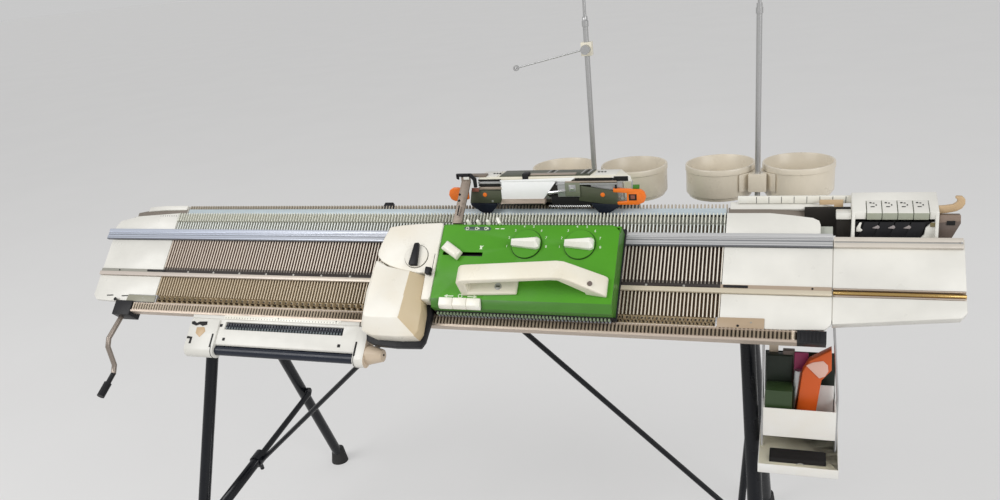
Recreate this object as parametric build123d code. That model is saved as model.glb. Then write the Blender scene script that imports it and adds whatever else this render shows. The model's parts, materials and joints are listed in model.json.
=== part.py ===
from build123d import *
from math import cos, radians, sin
import os

# A double-bed hand knitting machine on its folding tube stand.
# Lengths are in millimetres and angles in degrees. X runs along the beds with zero at the
# middle needle, Y runs from the knitter to the back with zero in the throat, Z is up.
# On a bed, "down" is the distance down the slope from the upper edge of the slide rail's
# panel, and "up" is the height above the top of the channel walls.

# Beds
needle_pitch = 5.0
needle_count = 179
bed_slope = 45.0
bed_height = 712.0
throat_width = 19.5
gate_top = 52.0
gate_length = 15.5
wall_thickness = 1.6
wall_height = 5.0
plate_thickness = 9.0
plate_length = 133.5
bed_left = 575.0
bed_right = 583.0
peg_rise = 5.0
peg_root = 3.0
gate_bar = 5.0
front_edge = 110.0

# Rails on each bed
rail_rise = 5.0
slide_rail_top = 21.5
slide_rail_width = 19.0
slide_rail_overhang = 10.0
rail_groove = 2.0
needle_bar_down = 51.5
needle_bar_width = 6.0
ride_rail_width = 6.5
needle_bar_rise = 2.5

# End panels and caps
panel_rise = 1.2
panel_gap = 0.3
cap_rise = 3.0
cap_depth = 12.0

# Pushers and guard rail
pusher_length = 6.0
pusher_rise = 3.0
pusher_step = 5.0
guard_width = 13.0
guard_lip = 3.0
guard_rise = 6.0
guard_depth = 8.0
guard_left = 485.0
guard_right = 543.5
guard_end_length = 34.0
guard_end_width = 24.7
guard_end_depth = 18.0

# Cradles and stand
cradle_inner = 444.0
cradle_outer = 503.0
cradle_flange = 6.0
cradle_web = 8.0
leg_radius = 11.0
leg_wall = 1.5
leg_top_x = 470.0
leg_pin_height = bed_height - 115
leg_pin_radius = 4.0
front_pin_y = 61.4
rear_pin_y = 112.1
front_lean = 20.2
rear_lean = 23.7
front_splay = 4.4
rear_splay = 2.4
leg_above_pin = 15.0
leg_gap = 1.5
foot_height = 36.0
foot_top = 14.0
foot_bottom = 20.0
spreader_x = 465.0
spreader_front_height = 196.7
spreader_rear_height = 249.4
spreader_radius = 10.0
spreader_length = 150.0
rod_radius = 6.0
collar_radius = 13.0
collar_length = 24.0
brace_radius = 4.5
stand_rail_radius = 11.0
stand_rail_y = 84.0
stand_rail_height = bed_height - 84
rear_bar = 20.0
rear_bar_y = 165.0
rear_bar_top = bed_height - 94

# Carriage
lock_left = 60.0
lock_right = 316.0
lock_top = 16.0
lock_bevel = 100.0
lock_bottom = 111.0
lock_rise = 42.0
cover_wall = 2.5
slide_gap = 0.4
base_thickness = 3.6
dial_radius = 22.0
dial_down = 16.0
key_width = 20.5
handle_rise = 82.0
handle_thickness = 9.0
handle_top = 64.0
handle_width = 26.0
pattern_left = 40.0
hood_height = 89.5
hood_wall = 3.0

# Yarn stand
mast_radius = 4.0
socket_height = 24.0
mast_left_x = 229.0
mast_right_x = 480.0
cup_spread = 58.0
cup_radius = 52.0
cup_foot = 48.0
cup_foot_height = 4.0
cup_height = 50.0
cup_rim = 9.0
cup_wall = 2.5
cup_behind = 33.0
cup_rim_height = bed_height + 54

# Extension, colour changer, pattern reader, trays
extension_right = 733.0
changer_left = 604.5
changer_right = 704.0
colour_keys = 4
scale_left = 462.0
reader_left = 358.0
reader_right = 44.0
reader_top = 4.0
reader_reach = 177.0
cheek_width_left = 53.0
cheek_width_right = 18.0
cheek_round = 12.0
roller_down = 182.0
roller_up = -5.0
roller_radius = 7.5
journal_radius = 3.0
tray_left = 503.0
tray_right = 596.0
tray_front = -86.0
tray_back = 14.0
tray_wall = 2.0
tray_height = 44.0
upper_tray_low = bed_height - 258
lower_tray_low = bed_height - 312
wire_radius = 1.6
running_gap = 0.4
turning_gap = 0.08

# Derived places
slope_cos = cos(radians(bed_slope))
slope_sin = sin(radians(bed_slope))
rail_line = gate_top * slope_cos + throat_width / 2
field_half = needle_pitch * needle_count / 2
peg_end = gate_top - gate_length
plate_end = plate_length - peg_end
channel_floor = -wall_height
plate_under = channel_floor - plate_thickness
ride_rail_down = needle_bar_down + needle_bar_width
ride_rail_end = ride_rail_down + ride_rail_width
slide_rail_end = slide_rail_width - slide_rail_top
guard_down = front_edge + 2
lock_base_end = guard_down - slide_gap
front_plane = Plane(
    origin=(0, -rail_line, bed_height),
    x_dir=(1, 0, 0),
    z_dir=(0, -slope_sin, slope_cos),
)


def front(shape):
    """Place a shape modelled flat (x, -down, up) on the front bed."""
    return front_plane.location * shape


def back(shape):
    """Place the same shape on the back bed, mirrored across the throat."""
    return front(shape).mirror(Plane.XZ)


def bed_point(x, down, up, side=-1):
    """World place of a bed point; side is -1 in front and 1 at the back."""
    y = rail_line + down * slope_cos + up * slope_sin
    z = bed_height - down * slope_sin + up * slope_cos
    return Vector(x, side * y, z)


def block(x, y, z):
    """A box from its lower and upper x, y and z."""
    size = (x[1] - x[0], y[1] - y[0], z[1] - z[0])
    middle = ((x[0] + x[1]) / 2, (y[0] + y[1]) / 2, (z[0] + z[1]) / 2)
    return Pos(*middle) * Box(*size)


def slab(x, down, up):
    """A box on a flat bed, from its x, down-slope and height ranges."""
    return block(x, (-down[1], -down[0]), up)


def along_x(x, outline):
    """Extrude a (y, z) outline from one x to another."""
    points = [(x[0], y, z) for y, z in outline]
    face = make_face(Polyline(points, close=True))
    return extrude(face, amount=x[1] - x[0], dir=(1, 0, 0))


def along_bed(x, outline):
    """Extrude a (down, up) outline along a flat bed."""
    return along_x(x, [(-down, up) for down, up in outline])


def down_bed(down, outline):
    """Extrude an (x, up) outline down a flat bed."""
    points = [(x, -down[0], up) for x, up in outline]
    face = make_face(Polyline(points, close=True))
    return extrude(face, amount=down[1] - down[0], dir=(0, -1, 0))


def plan(outline, up):
    """Extrude an (x, down) outline through a height range of a flat bed."""
    points = [(x, -down, up[0]) for x, down in outline]
    face = make_face(Polyline(points, close=True))
    return extrude(face, amount=up[1] - up[0], dir=(0, 0, 1))


def rod(start, end, radius):
    """A round bar from one point to another."""
    start = Vector(*start)
    end = Vector(*end)
    axis = end - start
    return extrude(Plane(origin=start, z_dir=axis) * Circle(radius), amount=axis.length)


def pipe(start, end, radius, wall):
    """A round tube, open at both ends."""
    return rod(start, end, radius) - rod(start, end, radius - wall)


def wire(points, radius, bend):
    """A round bar through the given corners, each bend made of two mitres."""
    corners = [Vector(*point) for point in points]
    path = [corners[0]]
    for before, corner, after in zip(corners, corners[1:], corners[2:]):
        path.append(corner + (before - corner).normalized() * bend)
        path.append(corner + (after - corner).normalized() * bend)
    path.append(corners[-1])
    section = Plane(origin=path[0], z_dir=path[1] - path[0]) * Circle(radius)
    return sweep(section, path=Polyline(*path), transition=Transition.RIGHT)


nodes = {}


def both_sides(shape):
    """A shape and its mirror image at the other end of the machine."""
    return [shape, shape.mirror(Plane.YZ)]


def keep(name, *shapes):
    """Name a sub-part made of one or more solids."""
    solids = [solid for shape in shapes for solid in shape.solids()]
    nodes[name] = solids[0] if len(solids) == 1 else Compound(children=solids)


# Needle beds: a plate with one wall between every two needles
def channel_bed():
    outline = [(-bed_left, plate_under), (-bed_left, channel_floor)]
    half = wall_thickness / 2
    for count in range(needle_count + 1):
        x = count * needle_pitch - field_half
        outline += [(x - half, channel_floor), (x - half, 0), (x + half, 0), (x + half, channel_floor)]
    outline += [(bed_right, channel_floor), (bed_right, plate_under)]
    return down_bed((-peg_end, plate_end), outline)


# Gate pegs: pointed teeth that part the stitches along the throat
def gate_comb():
    low = -peg_root
    outline = [(-field_half - needle_pitch / 2, low - gate_bar)]
    for count in range(needle_count + 1):
        x = count * needle_pitch - field_half
        outline += [(x - needle_pitch / 2, low), (x, peg_rise)]
    outline += [(field_half + needle_pitch / 2, low), (field_half + needle_pitch / 2, low - gate_bar)]
    return down_bed((-gate_top, -peg_end), outline)


def slide_rail(left, right):
    """The grooved upper rail that the lock slides on."""
    top = -slide_rail_top
    groove = [top + slide_rail_width * share for share in (0.28, 0.50)]
    outline = [(top, 0), (top, rail_rise)]
    for down in groove:
        outline += [(down, rail_rise), (down, rail_rise - 1)]
        outline += [(down + rail_groove, rail_rise - 1), (down + rail_groove, rail_rise)]
    outline += [(slide_rail_end, rail_rise), (slide_rail_end, 0)]
    return along_bed((left, right), outline)


def ride_rail():
    """The needle retaining bar with the lower rail beside it."""
    outline = [(needle_bar_down, 0), (needle_bar_down, needle_bar_rise)]
    outline += [(ride_rail_down, needle_bar_rise), (ride_rail_down, rail_rise)]
    outline += [(ride_rail_end, rail_rise), (ride_rail_end, 0)]
    return along_bed((-bed_left - panel_gap, bed_right - panel_gap), outline)


def end_caps():
    """Rounded caps over the upper corners of a bed."""
    inner = field_half + needle_pitch / 2
    left = [(-inner, -gate_top), (-534, -46), (-568, -37), (-bed_left, -slide_rail_top - 4)]
    left += [(-bed_left, -slide_rail_top), (-inner, -slide_rail_top)]
    right_end = bed_right - 15
    right = [(inner, -gate_top), (505, -gate_top), (535, -48.5), (right_end - 10, -45), (right_end - 2, -41)]
    right += [(right_end, -35), (right_end, -slide_rail_top), (inner, -slide_rail_top)]
    cut = slab((-bed_left - 1, bed_right + 1), (-peg_end, 0), (-cap_depth, channel_floor))
    return [plan(outline, (-cap_depth, cap_rise)) - cut for outline in (left, right)]


def end_panels(reach):
    """White plates on each end of a bed, above and below the ride rail."""
    inner = field_half + wall_thickness
    upper = (slide_rail_end + panel_gap, needle_bar_down - panel_gap)
    lower = ride_rail_end + panel_gap
    rise = (channel_floor, panel_rise)
    plates = []
    for edge, side in ((bed_left, -1), (bed_right, 1)):
        x = sorted((side * inner, side * edge))
        plates.append(slab(x, upper, rise))
        outline = [(side * inner, lower), (side * edge, lower), (side * edge, reach - 10)]
        outline += [(side * (edge - 8), reach - 2), (side * (edge - 55), reach)]
        if reach > plate_end:
            outline += [(side * cradle_outer, reach), (side * cradle_outer, plate_end)]
            outline += [(side * inner, plate_end)]
        else:
            outline += [(side * inner, reach)]
        plates.append(plan(outline, rise))
    return plates


def pusher_bar():
    """The steel bar that the pushers lie on."""
    return slab((-cradle_inner, cradle_inner), (plate_end, guard_down), (plate_under, -pusher_rise))


def pushers():
    """One pusher foot behind every needle, in two alternate rows."""
    feet = []
    for count in range(needle_count):
        x = (count + 0.5) * needle_pitch - field_half
        if abs(x) > cradle_inner - needle_pitch / 2:
            continue
        down = plate_end + 1 + pusher_step * (count % 2)
        base = needle_pitch * 0.3
        outline = [(x - base, -pusher_rise), (x, pusher_rise), (x + base, -pusher_rise)]
        feet.append(down_bed((down, down + pusher_length), outline))
    return feet


def guard_rail():
    """The reeded rail along the lower edge of the front bed."""
    outline = [(-guard_left, -guard_depth)]
    count = int((guard_left + guard_right) / needle_pitch)
    for number in range(count):
        x = number * needle_pitch - guard_left
        outline += [(x, guard_rise - 3), (x + needle_pitch / 2, guard_rise)]
    outline += [(guard_right, guard_rise - 3), (guard_right, -guard_depth)]
    reeds = down_bed((guard_down, guard_down + guard_width), outline)
    lip_down = (guard_down + guard_width, guard_down + guard_width + guard_lip)
    return reeds + slab((-guard_left, guard_right), lip_down, (-guard_depth, guard_rise))


keep("front_bed", front(channel_bed()))
keep("front_gate_pegs", front(gate_comb()))
keep("front_rails", front(slide_rail(-bed_left - slide_rail_overhang, bed_right)), front(ride_rail()))
keep("front_end_panels", *[front(plate) for plate in end_caps() + end_panels(front_edge)])
keep("front_pushers", front(pusher_bar()), *[front(foot) for foot in pushers()])
keep("guard_rail", front(guard_rail()))

keep("back_bed", back(channel_bed()))
keep("back_gate_pegs", back(gate_comb()))
keep("back_rails", back(slide_rail(-bed_left, bed_right - 17)), back(ride_rail()))
keep("back_end_panels", *[back(plate) for plate in end_caps() + end_panels(plate_end)])
back_guard = slab((-guard_left + 45, guard_left - 45), (guard_down, guard_down + guard_width),
                  (-guard_depth, guard_rise))
keep("back_guard_rail", back(pusher_bar()), back(back_guard))

# Racking crank: a bent handle that winds the back bed sideways
crank_x = -guard_left - guard_end_length + 8
crank_down = 121.0
crank_up = -10.4
crank_tilt = 30.0
crank_shaft = 65.0
crank_arm = 50.0
crank_grip = 27.0
crank_radius = 4.0
grip_radius = 6.0
grip_length = 22.0
crank_dir = Vector(0, -cos(radians(crank_tilt)), -sin(radians(crank_tilt)))
shaft_from = bed_point(crank_x, crank_down, crank_up)
shaft_to = shaft_from + crank_dir * crank_shaft
arm_to = shaft_to + Vector(0, 2.4, -crank_arm)
grip_from = arm_to + crank_dir * crank_grip
grip_to = grip_from + crank_dir * grip_length
crank_points = [tuple(point) for point in (shaft_from, shaft_to, arm_to, grip_to)]
grip = rod(grip_from, grip_to + crank_dir * 3, grip_radius)
grip -= rod(grip_from - crank_dir, grip_to, crank_radius)
keep("racking_crank", wire(crank_points, crank_radius, crank_radius * 2), grip)

# Guard rail ends: black blocks, the left one carries the crank's bearing
left_block = front(slab((-guard_left - guard_end_length, -guard_left),
                        (front_edge, front_edge + guard_end_width), (-guard_end_depth, guard_rise + 1)))
left_block -= rod(shaft_from - crank_dir, shaft_to, crank_radius + turning_gap)
right_block = front(slab((guard_right, guard_right + guard_end_length),
                         (guard_down, guard_down + guard_width + guard_lip), (-guard_depth, guard_rise + 1)))
keep("guard_rail_ends", left_block, right_block)

# Cradles: cast ends that hold both beds, with the pins that the legs hang on
flange_under = plate_under - cradle_flange
cradle_x = (cradle_inner, cradle_outer)
web_inner = leg_top_x + leg_radius + leg_gap
web_x = (web_inner, web_inner + cradle_web)
front_flange = front(slab(cradle_x, (-slide_rail_top, front_edge), (flange_under, plate_under)))
front_lip = front(slab(cradle_x, (plate_end, front_edge), (plate_under, panel_rise)))
back_flange = back(slab(cradle_x, (-slide_rail_top, front_edge),
                        (flange_under, plate_under - running_gap)))
back_lip = back(slab((cradle_x[0] + 18, cradle_x[1]), (plate_end + running_gap, front_edge),
                     (plate_under - running_gap, plate_under + 5)))
web_top = bed_point(0, -slide_rail_top, flange_under + 1, 1)
web_side = bed_point(0, front_edge, flange_under + 1, 1)
rear_end = rear_bar_y + rear_bar / 2
lower_edge = leg_pin_height - 15
web_outline = [(-web_top.Y, web_top.Z), (-web_side.Y, web_side.Z), (-web_side.Y, web_side.Z - 14)]
web_outline += [(front_pin_y - 30, web_side.Z - 14), (front_pin_y - 18, lower_edge)]
web_outline += [(rear_pin_y + 18, lower_edge), (rear_end + 3, rear_bar_top - rear_bar - 2)]
web_outline += [(rear_end + 3, rear_bar_top), (rear_bar_y - rear_bar, rear_bar_top)]
web_outline += [(web_side.Y, web_side.Z), (web_top.Y, web_top.Z)]
web = along_x(web_x, web_outline)
pins = [rod((web_x[0], y, leg_pin_height), (leg_top_x - leg_radius - 6, y, leg_pin_height), leg_pin_radius)
        for y in (front_pin_y, rear_pin_y)]
cradle = front_flange + front_lip + back_flange + back_lip + web + pins[0] + pins[1]
keep("bed_cradles", *both_sides(cradle))

# Stand rail and rear bar between the cradles
rail_ends = [(side * web_inner, stand_rail_y, stand_rail_height) for side in (-1, 1)]
stand_rail = pipe(*rail_ends, stand_rail_radius, leg_wall)
bar = block((-web_inner, web_inner), (rear_bar_y - rear_bar / 2, rear_end),
            (rear_bar_top - rear_bar, rear_bar_top))
for x in (mast_left_x, mast_right_x):
    bar += pipe((x, rear_bar_y, rear_bar_top), (x, rear_bar_y, rear_bar_top + socket_height), mast_radius + 5, 5)
keep("stand_rails", stand_rail, bar)


# Legs: tubes that lean and splay from their pins down to rubber feet
def leg_point(pin_y, lean, splay, height):
    """Centre of a right-hand leg at a height above the floor."""
    fall = leg_pin_height - height
    y_side = -1 if pin_y == front_pin_y else 1
    x = leg_top_x + fall * sin(radians(splay)) / cos(radians(splay))
    y = pin_y + y_side * fall * sin(radians(lean)) / cos(radians(lean))
    return Vector(x, y, height)


def leg(pin_y, lean, splay):
    """One tube leg with its pin hole."""
    top = leg_point(pin_y, lean, splay, leg_pin_height + leg_above_pin)
    bottom = leg_point(pin_y, lean, splay, foot_height / 4)
    tube = pipe(top, bottom, leg_radius, leg_wall)
    reach = leg_radius * 2
    hole = rod((leg_top_x - reach, pin_y, leg_pin_height), (leg_top_x + reach, pin_y, leg_pin_height),
               leg_pin_radius + turning_gap)
    return tube - hole


def foot(pin_y, lean, splay):
    """A flared rubber foot round the end of a leg, flat on the floor."""
    middle = leg_point(pin_y, lean, splay, foot_height / 2)
    cone = Pos(middle.X, middle.Y, foot_height / 2) * Cone(foot_bottom, foot_top, foot_height)
    top = leg_point(pin_y, lean, splay, foot_height * 2)
    end = leg_point(pin_y, lean, splay, foot_height / 4)
    return cone - rod(top, end, leg_radius)


front_leg = leg(front_pin_y, front_lean, front_splay)
rear_leg = leg(rear_pin_y, rear_lean, rear_splay)
spreader_front = leg_point(front_pin_y, front_lean, front_splay, spreader_front_height)
spreader_rear = leg_point(rear_pin_y, rear_lean, rear_splay, spreader_rear_height)
front_stub = rod((spreader_front.X, spreader_front.Y, spreader_front.Z),
                 (spreader_x - spreader_radius, spreader_front.Y, spreader_front.Z), leg_pin_radius)
front_leg += front_stub - rod(leg_point(front_pin_y, front_lean, front_splay, spreader_front_height + 40),
                              leg_point(front_pin_y, front_lean, front_splay, spreader_front_height - 40),
                              leg_radius - leg_wall)
keep("front_legs", *both_sides(front_leg))
keep("rear_legs", *both_sides(rear_leg))
keep("front_feet", *both_sides(foot(front_pin_y, front_lean, front_splay)))
keep("rear_feet", *both_sides(foot(rear_pin_y, rear_lean, rear_splay)))

# Spreaders: a rod telescopes in a tube between the front and the rear leg
span_from = Vector(spreader_x, spreader_front.Y, spreader_front.Z)
span_to = Vector(spreader_x, spreader_rear.Y, spreader_rear.Z)
span_dir = (span_to - span_from).normalized()
tube_start = span_from + span_dir * (leg_pin_radius + 4)
tube_end = span_from + span_dir * spreader_length
spreader = pipe(tube_start, tube_end, spreader_radius, spreader_radius - rod_radius - 0.4)
spreader += pipe(tube_end - span_dir * collar_length, tube_end, collar_radius,
                 collar_radius - rod_radius - 0.4)
eye = rod((spreader_x - spreader_radius + 1, span_from.Y, span_from.Z),
          (spreader_x + spreader_radius - 1, span_from.Y, span_from.Z), spreader_radius + 1)
spreader += eye
spreader -= rod((spreader_x - 20, span_from.Y, span_from.Z), (spreader_x + 20, span_from.Y, span_from.Z),
                leg_pin_radius + turning_gap)
screw_place = tube_end - span_dir * (collar_length / 2)
screw_up = Vector(0, -span_dir.Z, span_dir.Y)
spreader += rod(screw_place - screw_up * (rod_radius + 3), screw_place - screw_up * (collar_radius + 14), 4)
keep("spreader_tubes", *both_sides(spreader))
rod_start = tube_end - span_dir * 40
rod_eye_outer = spreader_rear.X - leg_radius - 0.9
rod_body = rod(rod_start, span_to - span_dir * 6, rod_radius)
rod_body += rod((rod_eye_outer - 6, span_to.Y, span_to.Z), (rod_eye_outer, span_to.Y, span_to.Z), 9)
keep("spreader_rods", *both_sides(rod_body))

# Braces from the middle of the stand rail to the collars
brace_top = (6, stand_rail_y - 3, stand_rail_height - stand_rail_radius - brace_radius + 1)
collar_middle = tube_end - span_dir * (collar_length / 2)
brace_inner = spreader_x - collar_radius - running_gap
brace_end = (brace_inner, collar_middle.Y, collar_middle.Z + 2)
brace = rod(brace_top, brace_end, brace_radius)
brace -= block((brace_inner, brace_inner + 50), (brace_end[1] - 50, brace_end[1] + 50),
               (brace_end[2] - 50, brace_end[2] + 50))
clamp = rod((0, stand_rail_y, stand_rail_height), (20, stand_rail_y, stand_rail_height), stand_rail_radius + 4)
clamp += block((0, 20), (stand_rail_y - 12, stand_rail_y + 8), (stand_rail_height - 24, stand_rail_height))
clamp -= rod((-1, stand_rail_y, stand_rail_height), (21, stand_rail_y, stand_rail_height), stand_rail_radius)
half_brace = brace + clamp
keep("stand_braces", half_brace + half_brace.mirror(Plane.YZ))

# Front lock: base plate, cover, handle and controls
base_up = (rail_rise + slide_gap, rail_rise + slide_gap + base_thickness)
lip_low = cap_rise + slide_gap
base = slab((lock_left - 2, lock_right + 2), (-slide_rail_top - 3, lock_base_end), base_up)
rail_lip = slab((lock_left - 2, lock_right + 2), (-slide_rail_top - 3, -slide_rail_top - slide_gap),
                (lip_low, base_up[0]))
front_wall = slab((lock_left + 1, lock_right - 1), (lock_bottom - 4, lock_base_end), (base_up[1], 22))
keep("front_lock_base", front(base + rail_lip + front_wall))


def cover_shell():
    """The bevelled sheet cover of the front lock, open underneath."""
    low = base_up[1]
    outline = [(-lock_top, low), (-lock_top, lock_rise - 4), (-lock_top + 4, lock_rise)]
    outline += [(lock_bevel, lock_rise), (lock_bottom, lock_rise - 8), (lock_bottom, 22)]
    outline += [(lock_bottom - 4.2, 22), (lock_bottom - 4.2, low)]
    shell = along_bed((lock_left, lock_right), outline)
    inside = [(-lock_top + cover_wall, low - 1), (-lock_top + cover_wall, lock_rise - cover_wall - 3)]
    inside += [(-lock_top + cover_wall + 3, lock_rise - cover_wall), (lock_bevel - 2, lock_rise - cover_wall)]
    inside += [(lock_bottom - 7, lock_rise - 11), (lock_bottom - 7, low - 1)]
    shell -= along_bed((lock_left + cover_wall, lock_right - cover_wall), inside)
    corner = [(lock_right - 12, -lock_top - 1), (lock_right + 1, -lock_top - 1), (lock_right + 1, -lock_top + 12)]
    shell -= plan(corner, (lock_rise - 8, lock_rise + 1))
    return shell


cover = cover_shell()
dial_centres = (188.3, 263.8)
for x in dial_centres:
    cover -= Pos(x, -dial_down, lock_rise) * Cylinder(4.1, 20)
key_first = 73.5
key_down = (99.0, 113.0)
keys_x = (key_first - running_gap, key_first + 3 * key_width + running_gap)
cover -= slab(keys_x, (key_down[0] - running_gap, key_down[1]), (30, lock_rise + 1))
lever_slot = slab((66, 126), (29, 34), (lock_rise - cover_wall - 1, lock_rise + 1))
cover -= lever_slot
keep("front_lock_cover", front(cover))

hand = [(107, lock_rise), (107, handle_rise - 8), (114, handle_rise), (252, handle_rise)]
hand += [(310, lock_rise + 8), (314, lock_rise), (283, lock_rise), (283, lock_rise + 6)]
hand += [(248, handle_rise - handle_thickness), (117, handle_rise - handle_thickness)]
hand += [(117, lock_rise + 7), (186, lock_rise + 7), (186, lock_rise)]
handle = down_bed((handle_top, handle_top + handle_width), hand)
handle = fillet(handle.edges().filter_by(Axis.X), handle_thickness / 3)
keep("carriage_handle", front(handle))


def stitch_dial(x):
    """A round dial with a tapered pointer bar, on its shaft."""
    low = lock_rise + 0.3
    disc = Pos(x, -dial_down, low + 1.5) * Cylinder(dial_radius, 3)
    shaft = Pos(x, -dial_down, lock_rise - 6) * Cylinder(4, 14)
    bar_outline = [(x - 20, dial_down - 4), (x + 19, dial_down - 7), (x + 20, dial_down + 7), (x - 19, dial_down + 6)]
    return disc + shaft + plan(bar_outline, (low + 2, low + 13))


keep("stitch_dial_left", front(stitch_dial(dial_centres[0])))
keep("stitch_dial_right", front(stitch_dial(dial_centres[1])))

lever_outline = [(65, 27), (73, 15), (97, 31), (90, 43)]
lever = plan(lever_outline, (lock_rise + 0.5, lock_rise + 11))
lever = chamfer(lever.edges().group_by(Axis.Z)[-1], 3)
lever += slab((80, 88), (29.5, 33.5), (lock_rise - 6, lock_rise + 2))
keep("lock_lever", front(lever))


def lock_key(number):
    """One of three sprung keys in the cover's front edge."""
    x = key_first + number * key_width
    outline = [(key_down[0], 34), (key_down[0], lock_rise + 2.5), (key_down[1] - 3, lock_rise + 1)]
    outline += [(key_down[1], lock_rise - 4), (key_down[1], 34)]
    key = along_bed((x + 0.2, x + key_width - 0.2), outline)
    return key


for number, name in enumerate(("arrow_key_left", "zero_key", "arrow_key_right")):
    keep(name, front(lock_key(number)))

# Pattern unit beside the lock
unit_right = lock_left - 0.5
upper_plan = [(-24, -8), (unit_right, -16), (unit_right, 58), (-30, 50), (-35, 34)]
lower_section = [(-pattern_left, 18), (-pattern_left, 54), (-pattern_left + 5, 58), (14, 58)]
lower_section += [(unit_right - 8, 44), (unit_right - 8, 18)]
upper_unit = plan(upper_plan, (18, 45))
lower_unit = down_bed((58, 163), lower_section)
front_trim = along_bed((-pattern_left - 1, unit_right + 1), [(150, 60), (170, 60), (170, 40)])
unit = upper_unit + (lower_unit - front_trim)
unit -= Pos(28, -39, 45) * Cylinder(4.1, 20)
slider_slot = slab((51.5, 54.5), (34, 70), (40, 46))
unit -= slider_slot
keep("pattern_unit_body", front(unit))
skirt_plan = [(-pattern_left + 1, 46), (unit_right - 7, 46), (unit_right - 7, 100), (unit_right - 3, 118)]
skirt_plan += [(unit_right - 8, 166), (-pattern_left + 4, 166)]
skirt = plan(skirt_plan, (8, 18))
keep("pattern_unit_skirt", front(skirt))
pattern_disc = Pos(28, -39, 46.3) * Cylinder(18, 2)
pattern_disc += Pos(28, -39, 41) * Cylinder(4, 9)
pattern_disc += plan([(23, 21), (32, 21), (36, 56), (24, 56)], (47, 55))
keep("pattern_dial", front(pattern_disc))
slider = slab((47.5, 57.5), (56, 68), (46, 52)) + slab((51.8, 54.2), (58, 66), (41, 47))
keep("pattern_slider", front(slider))


# Back lock: the same base and a plain cover, under the bridge hood
def back_cover():
    low = base_up[1]
    outline = [(-lock_top, low), (-lock_top, lock_rise - 4), (-lock_top + 4, lock_rise)]
    outline += [(lock_bevel, lock_rise), (lock_bottom, lock_rise - 8), (lock_bottom, low)]
    shell = along_bed((lock_left, lock_right), outline)
    inside = [(-lock_top + cover_wall, low - 1), (-lock_top + cover_wall, lock_rise - cover_wall - 3)]
    inside += [(-lock_top + cover_wall + 3, lock_rise - cover_wall), (lock_bevel - 2, lock_rise - cover_wall)]
    inside += [(lock_bottom - cover_wall, lock_rise - 11), (lock_bottom - cover_wall, low - 1)]
    return shell - along_bed((lock_left + cover_wall, lock_right - cover_wall), inside)


back_low = slab((lock_left - 2, lock_right + 2), (-slide_rail_top - 3, lock_base_end), base_up)
back_low += slab((lock_left - 2, lock_right + 2), (-slide_rail_top - 3, -slide_rail_top - slide_gap),
                 (lip_low, base_up[0]))
back_knobs = [Pos(x, -dial_down * 2, lock_rise + 6) * Cylinder(dial_radius, 12) for x in dial_centres]
keep("back_lock", back(back_low), back(back_cover()), *[back(knob) for knob in back_knobs])

# Bridge over the throat: a hood on the back lock and an arm from the front lock
over = bed_height + hood_height
hood_corner = bed_point(0, -lock_top + 4, lock_rise, 1)
hood_front = 0.0
hood_back = 55.0
hood = [(hood_front, over - 4), (hood_front, over), (hood_back, over), (hood_corner.Y + 8, hood_corner.Z + 14)]
hood += [(hood_corner.Y + 6, hood_corner.Z - 6), (hood_corner.Y, hood_corner.Z)]
hood += [(hood_corner.Y + 4, hood_corner.Z + 12), (hood_back - 2, over - hood_wall)]
hood += [(hood_front + 3, over - hood_wall), (hood_front + 3, over - 4)]
hood_x = (93.0, 325.0)
hood_shell = along_x(hood_x, hood)
keep("bridge_hood", hood_shell)

arm_foot = bed_point(0, -lock_top - 3, lock_rise - 6, -1)
arm_width = 14.0
arm_wall = 3.0


def bridge_arm(x):
    """A bent steel arm from the front lock's upper edge to the hood."""
    foot_low = bed_point(0, -lock_top - 2.8, base_up[1], -1)
    outline = [(foot_low.Y, foot_low.Z), (arm_foot.Y, arm_foot.Z), (hood_front - 6, over - 4)]
    outline += [(hood_front - 6, over + arm_wall), (hood_front + 14, over + arm_wall)]
    outline += [(hood_front + 14, over), (hood_front - 3, over), (hood_front - 3, over - 6)]
    outline += [(arm_foot.Y + 4.2, arm_foot.Z), (foot_low.Y + 2.1, foot_low.Z + 2.1)]
    return along_x((x, x + arm_width), outline)


arm_left = lock_left + 9
arm_strap = block((arm_left, hood_x[0] + 12), (hood_front + 2, hood_front + 14), (over, over + arm_wall))
keep("carriage_bridge", bridge_arm(arm_left) + arm_strap)

# Strippers: blades, noses and orange ends that hang over the throat
def upright(y, outline):
    """Extrude an (x, height above the bed line) outline from one y to another."""
    points = [(x, y[0], bed_height + z) for x, z in outline]
    face = make_face(Polyline(points, close=True))
    return extrude(face, amount=y[1] - y[0], dir=(0, 1, 0))


bar_front = 3.0
bar_x = (94.0, 306.0)
bridge_bar = block(bar_x, (bar_front, bar_front + 6), (bed_height + 56, over - hood_wall))
blade_y = (-1.0, bar_front)
blade_low = 51.0
blade_high = 73.0
blades = []
for left, right in ((75, 129), (247, 299)):
    blades.append(upright(blade_y, [(left, blade_low), (right, blade_low), (right, blade_high), (left, blade_high)]))
    middle = left + (right - left) * 0.58
    nose = [(left + 3, blade_low), (right - 8, blade_low), (middle + 4, 36), (middle - 4, 36)]
    blades.append(upright(blade_y, nose))
left_end = upright(blade_y, [(75, 54), (75, 76), (50, 76), (43, 70), (43, 60), (50, 54)])
right_end = upright(blade_y, [(299, 48), (334, 50), (341, 56), (341, 68), (334, 73), (299, 73)])
for x in (306, 323):
    right_end -= block((x, x + 9), (-5, 10), (bed_height + 56, bed_height + 66))
keep("strippers", blades[0] + blades[1], blades[2] + blades[3], left_end, right_end)
plate = [(129.5, 53), (194, 53), (213, 84), (129.5, 84)]
deflector = upright((bar_front - 3, bar_front), plate)
deflector += upright((bar_front - 12, bar_front), [(129.5, 51), (194, 51), (194, 53), (129.5, 53)])
keep("yarn_deflector", deflector)
guide_block = block((214, 246), (-2, bar_front), (bed_height + 60, bed_height + 83))
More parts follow.
